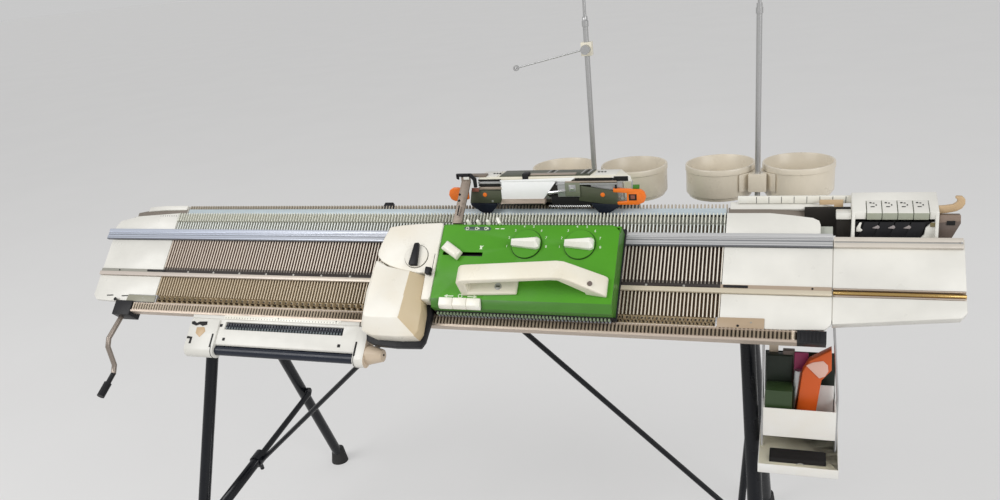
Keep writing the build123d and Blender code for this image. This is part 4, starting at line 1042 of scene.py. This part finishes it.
class KNIT_OT_controls(DressOperator, bpy.types.Operator):
    """Lever, three keys and the carrying handle"""

    bl_idname = "knit.controls"
    bl_label = "Lock controls"

    def execute(self, context):
        dress("lock_lever", "knob", rounding=1.0)
        for node in ("arrow_key_left", "zero_key", "arrow_key_right"):
            dress(node, "knob", rounding=0.9, segments=3)
        self.handle()
        return {"FINISHED"}

    def handle(self):
        grip = Piece("lock_handle", ON_BED[FRONT])
        face = [(107, 42), (105.5, 64), (107, 73), (112, 79), (118, 80.5), (246, 85.5), (256, 84)]
        face += [(266, 78.5), (305, 53), (309, 49), (309, 42), (280, 42), (280, 50), (277, 52.5)]
        face += [(258, 66), (248, 74), (240, 75.5), (126, 70.5), (120, 68), (118, 62), (118, 49.5)]
        face += [(183, 49.5), (186, 47), (186, 42)]
        grip.slab([(x, up) for x, up in face], 1, 64.5, 91.5, "cream", 3.4, 4)
        for vert in grip.mesh.verts:
            x, down, up = vert.co
            vert.co.y -= 0.05 * (min(x, 252.0) - 120.0) - 0.12 * max(x - 252.0, 0.0)
            if up > 55 and down > 80 and x < 280:
                vert.co.y -= 2.5
            if up < 52 and down > 80 and x < 190:
                vert.co.y += 3.5
        grip.rod((160, 83, 49.3), (160, 83, 50.8), 4.9, "steel", sides=20, rounding=0.3)
        grip.block((157, 82.2, 50.6), (163, 83.8, 50.95), "ink")
        grip.rod((288, 81, 61.8), (290.3, 81, 65.2), 3.2, "brown", sides=20)
        grip.done("carriage", ("carriage_handle",))


class KNIT_OT_pattern_unit(DressOperator, bpy.types.Operator):
    """Cream pattern unit with its dial, slider and black skirt"""

    bl_idname = "knit.pattern_unit"
    bl_label = "Pattern unit"

    def execute(self, context):
        self.body()
        skirt = Piece("pattern_skirt", ON_BED[FRONT])
        rim = [(-39, 48), (52, 48), (52.5, 100), (56, 118), (52, 156), (47, 165.5), (10, 167)]
        rim += [(-24, 165.5), (-38, 160), (-41, 146)]
        skirt.slab(rim, 2, 8, 18.5, "black", 1.4, 2)
        skirt.done("carriage", ("pattern_unit_skirt",))
        self.dial()
        return {"FINISHED"}

    def body(self):
        unit = Piece("pattern_unit", ON_BED[FRONT])
        top = [(-24, -8), (-6, -11), (20, -13.5), (57, -15.5), (59.3, -13), (59.3, 62)]
        top += [(34, 64), (8, 60), (-12, 54), (-26, 47), (-34.5, 38), (-35, 30), (-30, 10)]
        unit.slab(top, 2, 18, 45, "unit", 2.2, 3)
        outline = [(-33, 44), (-12, 56), (14, 63), (29, 66), (45, 66), (46, 104), (49, 118)]
        outline += [(50, 148), (46, 156.5), (20, 158.5), (-20, 158), (-36, 152.5), (-40, 142), (-38, 100)]
        lower = [(x, down, 16.0) for x, down in outline]
        waist = [(x, down, 40.0) for x, down in outline]
        crest = [(-30, 50), (-12, 58), (14, 65), (28, 67), (29, 67.4), (26.5, 104), (25.5, 118)]
        crest += [(24.5, 134), (23, 136.5), (12, 137.5), (-12, 137.5), (-26, 137), (-30, 134), (-32, 100)]
        ridge = [(x, down, 58.5 if down > 60 else 53.5) for x, down in crest]
        unit.lofted([lower, waist, ridge], "unit", 1.6, 3)
        unit.slab([(45, 60), (59.3, 60), (59.3, 98), (57, 103), (46, 103)], 2, 20, 43, "unit", 1.4)
        # The hump's right-hand faces in a darker cream: painted shade
        unit.tint("unit_shaded_side", lambda middle, normal: middle.y > 66 and normal.x > 0.35 and middle.x < 53)
        unit.block((55.3, 34, 44.9), (56.1, 68, 45.1), "ink")
        unit.done("carriage", ("pattern_unit_body",))

    def dial(self):
        dial = Piece("pattern_dial_dressed", ON_BED[FRONT])
        dial.rod((28, 39, 37), (28, 39, 45.2), 4.0, "ink", sides=20)
        dial.rod((28, 39, 45.25), (28, 39, 45.6), 18.0, "ink", sides=56)
        dial.rod((28, 39, 45.3), (28, 39, 47.2), 17.4, "unit", sides=56, rounding=0.6)
        dial.slab([(24, 21), (31, 20), (34, 55), (21, 55), (22, 44)], 2, 47, 54, "black", 1.6, 2)
        dial.done("pattern_knob", ("pattern_dial",))
        slider = Piece("slider_knob", ON_BED[FRONT])
        slider.block((52.0, 58, 41), (54.0, 66, 46.4), "ink")
        slider.slab([(47.8, 56.2), (56.8, 57.5), (56, 68), (50, 68), (47.6, 66)], 2, 46, 52, "black", 1.2)
        slider.done("slider", ("pattern_slider",))


class KNIT_OT_bridge(DressOperator, bpy.types.Operator):
    """Bridge over the throat: hood, slotted plate, arm and loop"""

    bl_idname = "knit.bridge"
    bl_label = "Bridge"

    def execute(self, context):
        top = box_of("bridge_hood")[1][2]
        over_hood = UPRIGHT @ Matrix.Translation((0, 0, top))
        self.hood(top)
        dress("carriage_bridge", "arm", rounding=0.4)
        dress("bridge_bar", "steel", rounding=0.5)
        self.plate(over_hood)
        self.loop(over_hood)
        self.arm()
        return {"FINISHED"}

    def plate(self, over_hood):
        plate = Piece("hood_plate", over_hood)
        plate.slab([(126, 3), (261, 3), (264, 33), (128, 33)], 2, -0.2, 1.2, "plate", 0.3)
        for start in (194, 246):
            for number in range(3):
                x = start + number * 5.0
                name = "ink" if number % 2 else "steel"
                plate.slab([(x, 10), (x + 2.2, 10), (x + 4.6, 31), (x + 2.4, 31)], 2, 1.1, 1.5, name)
        plate.block((172, 4, 1.0), (240, 14, 2.2), "warm_steel", 0.4)
        plate.block((162, -1, -7), (171, 13, 5), "black", 1.0)
        plate.block((97, 4, -0.1), (122, 32, 0.7), "panel", 0.4)
        plate.block((267, 4, -0.1), (299, 32, 0.7), "panel", 0.4)
        for x in (111, 115.5, 120, 269, 273.5, 278):
            plate.slab([(x, 18), (x + 3, 16), (x + 4, 20), (x + 1, 23)], 2, 0.6, 0.9, "ink")
        for left, right in ((93.5, 129), (240, 302)):
            plate.block((left, -0.7, -5), (right, 0.4, -2.6), "ink", 0.2)
        plate.block((296, -1.4, -7.5), (316, 3, -0.6), "ink", 0.4)
        plate.slab([(293, -0.4), (319, -0.4), (321, -8.5), (293, -8.5)], 1, -0.6, 2,
                   "panel", 0.4)
        plate.block((297, -1.2, -22), (299.2, 2.8, -7), "ink", 0.3)
        plate.block((320, 0, -22), (322, 3, -8), "steel", 0.3)
        plate.done("carriage")

    def hood(self, top):
        hood = Piece("hood_cover")
        profile = [(0, top - 4.2), (0, top), (35, top), (61, 753), (61, 746), (56, 746), (32, top - 4.2)]
        hood.slab(profile, 0, 94, 318, "cream", 0.8)
        for vert in hood.mesh.verts:
            if vert.co.x > 200:
                vert.co.x -= min(vert.co.y, 35.0) * 0.5
        hood.done("carriage", ("bridge_hood",))

    def loop(self, over_hood):
        loop = Piece("bridge_loop", over_hood)
        loop.slab([(62, 8), (85, 8), (83, 3.5), (62, 3.5)], 1, -7.4, -3.2, "black", 0.6)
        loop.slab([(79.5, 7.8), (85.4, 7.8), (92.5, 0), (92.5, -13), (88, -13), (87.5, -2)],
                  1, -7.4, -3.2, "black", 0.6)
        loop.slab([(62, 7), (65.5, 7), (65.5, -1), (62, 1)], 1, -7.4, -3.2, "black", 0.6)
        loop.block((73, -6.9, -1), (82, -4.6, 3.4), "panel", 0.5)
        loop.block((70, -5.4, -12), (78, -3.2, -2.5), "rust", 0.5)
        loop.block((83, -4.4, -20), (94, -2.0, -14.5), "rust", 0.5)
        loop.done("carriage")

    def arm(self):
        marks = Piece("arm_slots", ON_BED[FRONT])
        lip = 38.6
        middle = box_of("carriage_bridge")[0][0] + 7.0
        marks.rod((middle, -61, lip + 5.2), (middle, -61, lip + 5.8), 1.9, "ink", sides=14)
        marks.rod((middle, -52, lip + 3.4), (middle, -52, lip + 4.0), 1.9, "ink", sides=14)
        marks.block((middle - 1.0, -46, lip), (middle + 1.0, -30, lip + 0.5), "ink")
        marks.done("carriage")


class KNIT_OT_strippers(DressOperator, bpy.types.Operator):
    """Blades, black noses, orange ends, deflector and spring"""

    bl_idname = "knit.strippers"
    bl_label = "Strippers"

    def execute(self, context):
        self.blades()
        self.deflector()
        self.works()
        self.spring()
        return {"FINISHED"}

    def blades(self):
        blades = Piece("stripper_blades", OVER_BEDS)
        left = [(77, 51), (129, 51), (129, 70), (81, 71)]
        right = [(244, 54), (247, 76), (299, 67), (301, 47), (280, 49)]
        for outline in (left, right):
            blades.slab(outline, 1, -1, 3, "blade", 0.4)
        for x, z in ((102, 64), (279, 62.5)):
            blades.rod((x, -2.0, z), (x, -0.9, z), 3.2, "orange", sides=20, rounding=0.4)
        blades.rod((113, -1.5, 54), (113, -0.9, 54), 1.6, "steel", sides=12)
        noses = (
            [(78, 51), (119, 50), (118.5, 46), (108, 34.5), (101, 33.5), (90, 40), (79, 48)],
            [(262, 50), (301, 48), (303, 45), (283, 33.5), (276, 33.5), (264, 46)],
        )
        for outline in noses:
            blades.slab(outline, 1, -2.5, 3, "nose", 0.4, 2)
        blades.slab([(44, 64), (47, 57), (53, 54), (62, 54), (76, 57),
                     (76, 72), (60, 75), (52, 75), (46, 71)],
                    1, -1.5, 3, "orange", 1.4, 3)
        fork = [(294, 66), (294, 71.5), (332, 70), (338, 66), (340, 58)]
        fork += [(337, 51), (329, 47.5), (300, 47.5), (299, 52), (313, 52.5)]
        fork += [(313, 64.5)]
        blades.slab(fork, 1, -1.5, 3.2, "orange", 0.9, 2)
        # A near-black patch round the pad: painted shade
        blades.block((316, -1.8, 54), (327, -1.4, 63), "dark", 0.15)
        blades.block((318.5, -1.9, 56), (324.5, -1.7, 61.5), "rust", 0.1)
        blades.rod((307, -1.2, 57), (307, -0.6, 57), 2.0, "steel", sides=12)
        blades.done("carriage", ("strippers",))

    def deflector(self):
        plate = Piece("deflector", OVER_BEDS)
        shape = [(128, 57), (192, 57), (210, 80), (212, 83.5), (128, 84)]
        plate.slab(shape, 1, -1.6, 0.0, "bright", 0.3, 2)
        plate.slab([(128, 83.5), (212, 83.2), (233, 82.4), (241, 88.2), (128, 85.6)],
                   1, -2.2, -0.8, "bright", 0.2)
        plate.slab([(-9, 51), (2.8, 50.6), (2.8, 57), (-1.5, 57), (-9, 53)],
                   0, 128, 195, "warm_steel", 0.3)
        plate.block((130, -9.2, 51.4), (193, -8.8, 52.6), "ink")
        plate.done("carriage", ("yarn_deflector",))

    def works(self):
        works = Piece("bridge_works", OVER_BEDS)
        bars = (
            (94, 129, 72.0, 4.0, "warm_steel"), (94, 129, 77.4, 2.4, "ink"), (94, 129, 80.6, 3.4, "steel"),
            (212, 300, 77.5, 2.2, "steel"), (226, 300, 80.6, 2.6, "warm_steel"), (240, 300, 84.0, 1.4, "ink"),
        )
        for left, right, low, tall, name in bars:
            works.block((left, -2.6, low), (right, 2.9, low + tall), name, 0.3)
        # A near-black block among the works: painted shade
        works.block((198, -0.5, 61), (226, 2.9, 77), "dark", 0.5)
        works.rod((200, -1.6, 66), (226, -1.6, 69), 2.6, "chrome", sides=14, rounding=0.4)
        works.block((225, -3.0, 61), (247, 2.9, 81), "works_plate", 0.8)
        works.block((231, -3.6, 68), (241, -2.9, 78), "steel", 0.5)
        works.rod((236, -5.0, 73), (236, -3.4, 73), 2.6, "chrome", sides=20, rounding=0.4)
        works.block((203, 0.2, 46), (262, 2.9, 61), "ink", 0.5)
        # A near-black sheet behind the works: painted shade
        works.block((199, 2.9, 58), (262, 5.0, 79), "dark", 0.4)
        # A small block in the lock cover's darker green: painted shade
        works.block((322, -1.0, 70.5), (331, 3, 76), "green_painted_shade", 0.6)
        works.done("carriage")

    def spring(self):
        spring = Piece("strippers_spring", OVER_BEDS)
        start, end = 201.0, 262.0
        for number in range(SPRING_TURNS):
            x = start + (end - start) * number / SPRING_TURNS
            spring.ring((x, -1.5, 46), (1, 0, 0.35), 1.8, 0.7, "chrome", 12)
        spring.done("carriage")


class KNIT_OT_extension(DressOperator, bpy.types.Operator):
    """Extension panel with its rail and brass rod"""

    bl_idname = "knit.extension"
    bl_label = "Extension"

    def execute(self, context):
        dress("extension_panel", "panel", rounding=1.0)

        def part(point, face):
            return 1 if on_bed(point)[1] > 30 else 0

        dress("extension_rails", ["extension_rail", "brass"], part, rounding=0.3)
        strip = Piece("extension_strip", ON_BED[FRONT])
        strip.block((584.5, 51.8, -5.9), (732.5, 53.8, 0.6), "warm_steel", 0.3)
        strip.block((584.5, 61.2, -5.9), (732.5, 63.2, 0.6), "warm_steel", 0.3)
        strip.block((585.0, -12.3, 2.4), (727.0, -7.9, 4.3), "groove", 0.2)
        strip.rod((729, -10, 4.4), (729, -10, 5.4), 1.4, "steel", sides=12)
        strip.done("machine_frame")
        return {"FINISHED"}


class KNIT_OT_colour_changer(DressOperator, bpy.types.Operator):
    """Colour changer: housing, keys, feeders, hook and scale bar"""

    bl_idname = "knit.colour_changer"
    bl_label = "Colour changer"

    def execute(self, context):
        def part(point, face):
            return 1 if point.z < BED_HEIGHT + 31.5 and 609 < point.x < 700 and -23 < point.y < 16 else 0

        dress("colour_changer_body", ["panel", "black"], part, rounding=0.8)

        def key_part(point, face):
            return 1 if face.normal.z > 0.45 else 0

        for number in range(1, CHANGER_KEYS + 1):
            dress(f"colour_key_{number}", ["key_grey", "panel"], key_part, rounding=0.8)

        self.hook()
        dress("scale_bar", "knob", rounding=0.5)
        self.ticks()
        self.key_marks()
        self.feeders()
        self.side()
        return {"FINISHED"}

    def hook(self):
        hook = Piece("changer_hook", OVER_BEDS)
        outline = [(703.5, 38.5), (714, 39.5), (724, 41.8), (730, 45.5), (733, 51), (732.6, 57), (729, 60.6)]
        outline += [(722.5, 60.8), (721.4, 58.6), (724.2, 56.8), (724.2, 53.4), (720, 50), (711, 48.5)]
        outline += [(703.5, 48)]
        hook.slab(outline, 1, -15.0, -8.5, "tan", 1.0, 3)
        hook.slab([(704, 39.5), (728, 39.5), (729, 29), (718, 4), (704, 4)], 1, -23.5, -15.2, "brown", 0.7)
        hook.slab([(704.5, 39.9), (728, 39.9), (728.6, 32), (704.5, 30)], 1, -24.0, -23.0, "brown_top", 0.4)
        hook.slab([(713, 27), (722.5, 27), (722.5, 32.6), (713, 32.6)], 1, -24.6, -23.6, "ink", 0.3)
        hook.done("machine_frame", ("changer_bracket",))

    def ticks(self):
        ticks = Piece("scale_ticks", OVER_BEDS)
        face = 13.5
        for number in range(8):
            x = 486 + number * 16.0
            ticks.block((x, face - 0.15, 44.5), (x + 0.7, face + 0.1, 53.5), "ink")
        ticks.done("machine_frame")

    def key_marks(self):
        for number in range(CHANGER_KEYS):
            marks = Piece(f"key_marks_{number + 1}")
            left = 621.8 + KEY_PITCH * number
            for dx, y, wide, deep in ((3.4, -7.5, 2.6, 1.6), (7.2, -8.4, 2.2, 1.2), (10.6, -11.5, 1.2, 2.6),
                                      (4.6, -15.5, 4.6, 1.3)):
                z = self.key_top(y)
                low, high = (left + dx, y - deep, z - 0.5), (left + dx + wide, y + deep, z + 0.35)
                marks.block(low, high, "ink", 0.1)
            marks.done(BODY_OF[f"colour_key_{number + 1}"])

    def key_top(self, y):
        """Height of a key's sloping top."""
        low, high = box_of("colour_key_1")
        share = min((y - low[1] - 3.0) / (high[1] - low[1] - 3.0), 1.0)
        return high[2] - (1.0 - share) * 8.0

    def feeders(self):
        feeders = Piece("changer_feeders", OVER_BEDS)
        for number in range(CHANGER_KEYS):
            left = 620.0 + KEY_PITCH * number
            outline = [(left, 31.4), (left + 16.6, 31.4), (left + 9.5, 4)]
            outline += [(left - 7, 4), (left - 7, 11)]
            feeders.slab(outline, 1, -25.5 - number * 0.2, -22.5, "black", 0.8)
            if number:
                feeders.slab([(left - 9, 23.6), (left - 2.5, 27.6), (left, 25),
                              (left - 1.5, 22.6)], 1, -27.0, -25.4, "lug", 0.4)
        feeders.slab([(610.5, 24), (614, 31), (616.5, 31), (615, 24), (618, 21), (616, 19), (610.5, 19)],
                     1, -27.5, -25.2, "panel", 0.5)
        feeders.block((606, -22.6, 4), (700, -21.6, 31.2), "black")
        feeders.slab([(679, 4), (703, 4), (702, 31), (697, 31), (690, 24), (689, 15)], 1, -26.8, -22.8,
                     "panel", 0.5)
        feeders.block((694.5, -28.2, 26), (701, -26.6, 31.2), "olive", 0.4)
        feeders.done("machine_frame")

    def side(self):
        side = Piece("changer_side", OVER_BEDS)
        side.block((586, -24, 34), (604.2, -6, 42.5), "panel", 1.0)
        # Near-black blocks inside the changer's side: painted shade
        side.block((587, -21, 2), (604.2, -8, 34), "dark", 0.5)
        side.block((548, 4.5, 2), (604.4, 12, 40), "dark", 0.5)
        side.slab([(566, 44.6), (566, 51), (595, 51), (595, 41.6), (584, 41.6), (584, 44.6)], 1, 5.0, 8.0,
                  "tan", 0.5)
        side.done("machine_frame")


class KNIT_OT_masts(DressOperator, bpy.types.Operator):
    """Yarn masts, guides, tension arm and cup clips"""

    bl_idname = "knit.masts"
    bl_label = "Yarn masts"

    def execute(self, context):
        dress("yarn_masts", "steel")
        dress("thread_guides", "cream", rounding=0.8)
        dress("tension_arm", "steel")
        dress("cup_clips", "cup", rounding=1.2, segments=2)
        return {"FINISHED"}


class KNIT_OT_cups(DressOperator, bpy.types.Operator):
    """Four open cups with rolled rims, turned on their axes"""

    bl_idname = "knit.cups"
    bl_label = "Yarn cups"

    def execute(self, context):
        low, high = box_of("yarn_cups")
        foot, rim = low[2], high[2]
        cups = Piece("cups_turned")
        outside = [(0.0, foot), (47.0, foot), (48.0, foot + 1.0), (48.4, foot + 4.0), (51.2, foot + 5.5)]
        outside += [(52.0, foot + 7.0), (52.0, rim - 9.0), (53.0, rim - 8.2), (53.0, rim - 1.2), (52.4, rim)]
        inside = [(50.2, rim), (49.5, rim - 1.0), (49.5, foot + 9.0), (47.5, foot + 6.8), (0.0, foot + 6.5)]
        for x in CUP_PLACES:
            cups.turned((x, (low[1] + high[1]) / 2), outside + inside, "cup")
        cups.done("machine_frame", ("yarn_cups",), smooth=40.0)
        return {"FINISHED"}


class KNIT_OT_chart_reader(DressOperator, bpy.types.Operator):
    """Chart reader: pale case, toothed window, scale and roller"""

    bl_idname = "knit.chart_reader"
    bl_label = "Chart reader"

    def execute(self, context):
        def part(point, face):
            return 1 if point.x > -44.5 else 0

        dress("chart_reader_body", ["panel", "beige"], part, rounding=1.2)
        dress("chart_roller", "roller")
        self.window()
        self.marks()
        return {"FINISHED"}

    def window(self):
        window = Piece("reader_window", ON_BED[FRONT])
        window.block((-294.8, 137.7, -3.9), (-87.2, 149.8, -1.4), "ink", 0.2)
        for number in range(READER_TEETH):
            x = -293.5 + number * 5.0
            window.block((x, 145.2, -1.5), (x + 2.6, 149.6, 2.6), "tooth_dark", 0.3, 1)
            window.block((x, 138.2, -1.5), (x + 3.2, 143.0, 1.6), "roller", 0.3, 1)
        window.block((-294.8, 143.2, -1.5), (-87.2, 144.8, 2.2), "roller", 0.3)
        window.done("machine_frame")

    def marks(self):
        marks = Piece("reader_marks", ON_BED[FRONT])
        marks.block((-299, 127.4, 5.3), (-93, 133.4, 6.1), "knob", 0.3)
        for number in range(READER_TEETH):
            x = -296.0 + number * 5.0
            marks.block((x, 130.6, 6.0), (x + 0.6, 132.6, 6.25), "ink")
            if number % 20 == 19:
                marks.rod((x, 129.2, 6.0), (x, 129.2, 6.3), 0.9, "ink", sides=10)
        for x, down in ((-302, 144), (-291, 166), (-89, 166)):
            marks.block((x - 2.4, down - 2.4, 3.0), (x + 2.4, down + 2.4, 4.4), "ink", 0.4)
        loops = [(-356, 141), (-351, 140), (-346, 143), (-341, 140.4), (-327, 139.6), (-326, 145)]
        loops += [(-334, 147.5), (-340, 145), (-346, 147.5), (-355, 145)]
        leaf = [(-344, 150), (-330, 149), (-326, 156), (-334, 166), (-343, 160)]
        corner = [(-357, 165), (-347, 166), (-347, 177), (-351, 177), (-351, 169), (-357, 169)]
        marks.slab(loops, 2, 6.4, 7.8, "ink", 0.5)
        marks.slab(leaf, 2, 6.6, 7.4, "tan", 0.3)
        marks.slab(corner, 2, 6.2, 7.3, "ink", 0.2)
        for x in (-310.5, -59.5):
            marks.block((x - 1.5, 159, 6.4), (x + 1.5, 181, 7.5), "ink", 0.5)
        for x in (-308.5, -60.0):
            marks.ring((x, 182, -5), (1, 0, 0), 11.8, 0.8, "ink", 48)
        marks.rod((-21.5, 172, -8.5), (-19.3, 172, -8.5), 1.6, "ink", sides=12)
        marks.done("machine_frame")


class KNIT_OT_trays(DressOperator, bpy.types.Operator):
    """Hanging trays, wires and what lies in them"""

    bl_idname = "knit.trays"
    bl_label = "Tool trays"

    def execute(self, context):
        def inside(point, face):
            within = 499 < point.x < 600 and -94 < point.y < 18 and point.z < 440
            x, y, z = face.normal
            return 1 if within and (z > 0.5 or abs(x) + abs(y) > 0.9) else 0

        # The trays' inner walls and floors in a lighter, yellowed cream: yellowing with painted light
        dress("tool_trays", ["tray", "tray_inside_painted_light"], inside, rounding=1.0, segments=2)
        dress("tray_hanger", "steel")
        things = ("box_green", "dark_bag_and_shade_sheet", "box_magenta", "paper", "box_orange", "brush")

        def thing(point, face):
            """Number of the thing that a face belongs to."""
            x, y, z = point
            if z < 430:
                return things.index("brush")
            if y > -51:
                return 1 if x < 540 else 2 if x < 560.5 else 3
            return 0 if x < 540.5 and -81 < y < -51 else 4

        dress("tray_tools", things, thing, rounding=1.0)
        self.small_things()
        return {"FINISHED"}

    def small_things(self):
        extra = Piece("tray_extras")
        # A sheet behind the things in the tray, in the bag's dark colour: painted shade in the gaps between
        # them
        extra.block((503, -35.5, 462), (594, -33.5, 560), "dark_bag_and_shade_sheet", 0.8)
        extra.block((526, -46, 500), (541.5, -37, 566), "brown", 1.0)
        extra.block((508, -37, 470), (520, -35.8, 588), "beige", 0.6)
        extra.rod((541, -62, 470), (547, -60, 545), 4.0, "foil", 5.5, 14, 0.6)
        flap = [(556, 558), (564, 563), (577, 566), (583, 560), (584, 551), (580, 543), (573, 540)]
        extra.slab(flap, 1, -71.2, -70.2, "pink", 0.3)
        for x in (538, 544):
            extra.rod((x, -66, 403.5), (x + 3, -46, 403.5), 0.7, "steel", sides=8)
        extra.ring((553, -90.6, 411), (0, 1, 0.2), 6.0, 1.0, "steel", 28)
        extra.done("machine_frame")


class KNIT_OT_stage(DressOperator, bpy.types.Operator):
    """Pale floor and backdrop, soft lamps, even light and the camera"""

    bl_idname = "knit.stage"
    bl_label = "Stage"

    def execute(self, context):
        self.floor()
        self.lamps()
        self.room()
        self.camera()
        context.scene.view_settings.view_transform = "Standard"
        return {"FINISHED"}

    def floor(self):
        ground = bmesh.new()
        bmesh.ops.create_grid(ground, x_segments=1, y_segments=1, size=FLOOR_HALF_SIZE)
        data = bpy.data.meshes.new("floor")
        ground.to_mesh(data)
        ground.free()
        floor = bpy.data.objects.new("floor", data)
        bpy.context.scene.collection.objects.link(floor)
        colour = tuple(bpy.context.scene.knit_stage.floor)
        pale = Finish("Pale floor", colour, 0.7)
        mottled(pale, colour, tuple(channel * 0.97 for channel in colour), 2.0)
        glow = pale.node("ShaderNodeEmission", inputs={"Color": FLOOR_GLOW})
        surface = pale.blended(pale.looked_at() * GLOW_SHARE, pale.shader, glow)
        pale.plug(pale.output.inputs["Surface"], surface)
        data.materials.append(pale.material)

    def lamps(self):
        stage = bpy.context.scene.knit_stage
        for name, place, size, power in (
            ("key", (-2.2, -2.6, 3.2), 2.4, stage.key), ("fill", (2.8, -1.8, 2.2), 2.0, stage.fill),
        ):
            data = bpy.data.lights.new(name, "AREA")
            data.energy = power
            data.size = size
            lamp = bpy.data.objects.new(name, data)
            lamp.location = place
            lamp.rotation_euler = (Vector(LIT_SPOT) - Vector(place)).to_track_quat("-Z", "Y").to_euler()
            bpy.context.scene.collection.objects.link(lamp)

    def room(self):
        """Even light, and a pale backdrop where a ray looks at it."""
        world = bpy.data.worlds.new("Room")
        world.use_nodes = True
        nodes = Nodes(world.node_tree)
        strength = bpy.context.scene.knit_stage.sky
        light = nodes.node("ShaderNodeBackground", inputs={"Color": (1.0, 1.0, 1.0), "Strength": strength})
        backdrop = nodes.node("ShaderNodeBackground", inputs={"Color": BACKDROP_GREY})
        surface = nodes.blended(nodes.looked_at(), light, backdrop)
        nodes.node("ShaderNodeOutputWorld", inputs={"Surface": surface})
        bpy.context.scene.world = world

    def camera(self):
        data = bpy.data.cameras.new("view")
        data.sensor_width = FRAME_WIDTH
        data.lens = bpy.context.scene.knit_stage.lens
        data.shift_x, data.shift_y = CAMERA_SHIFT
        data.clip_end = 50.0
        camera = bpy.data.objects.new("view", data)
        camera.location = UPRIGHT @ Vector(CAMERA_PLACE)
        camera.rotation_euler = [math.radians(angle) for angle in CAMERA_TURN]
        bpy.context.scene.collection.objects.link(camera)
        bpy.context.scene.camera = camera


OPERATORS = (
    KNIT_OT_beds, KNIT_OT_rails, KNIT_OT_guard_rail, KNIT_OT_crank, KNIT_OT_stand, KNIT_OT_lock,
    KNIT_OT_dials, KNIT_OT_controls, KNIT_OT_pattern_unit, KNIT_OT_bridge, KNIT_OT_strippers,
    KNIT_OT_extension, KNIT_OT_colour_changer, KNIT_OT_masts, KNIT_OT_cups, KNIT_OT_chart_reader,
    KNIT_OT_trays, KNIT_OT_stage,
)


class KNIT_PT_panel(bpy.types.Panel):
    """Lists the machine's pieces in the sidebar."""

    bl_idname = "KNIT_PT_panel"
    bl_label = "Knitting machine"
    bl_space_type = "VIEW_3D"
    bl_region_type = "UI"
    bl_category = "Knitting"

    def draw(self, context):
        for group in (context.scene.knit_colours, context.scene.knit_sizes, context.scene.knit_stage):
            box = self.layout.box()
            for name in group.bl_rna.properties.keys():
                if name not in ("rna_type", "name"):
                    box.prop(group, name)
        for operator in OPERATORS:
            self.layout.operator(operator.bl_idname)


CLASSES = (KnitColours, KnitSizes, KnitStage, *OPERATORS, KNIT_PT_panel)


def register():
    for item in CLASSES:
        bpy.utils.register_class(item)
    bpy.types.Scene.knit_colours = bpy.props.PointerProperty(type=KnitColours)
    bpy.types.Scene.knit_sizes = bpy.props.PointerProperty(type=KnitSizes)
    bpy.types.Scene.knit_stage = bpy.props.PointerProperty(type=KnitStage)


def unregister():
    del bpy.types.Scene.knit_stage
    del bpy.types.Scene.knit_sizes
    del bpy.types.Scene.knit_colours
    for item in reversed(CLASSES):
        bpy.utils.unregister_class(item)


def main():
    """Make every piece in order."""
    register()
    for operator in OPERATORS:
        group, name = operator.bl_idname.split(".")
        getattr(getattr(bpy.ops, group), name)()


if __name__ == "__main__":
    main()
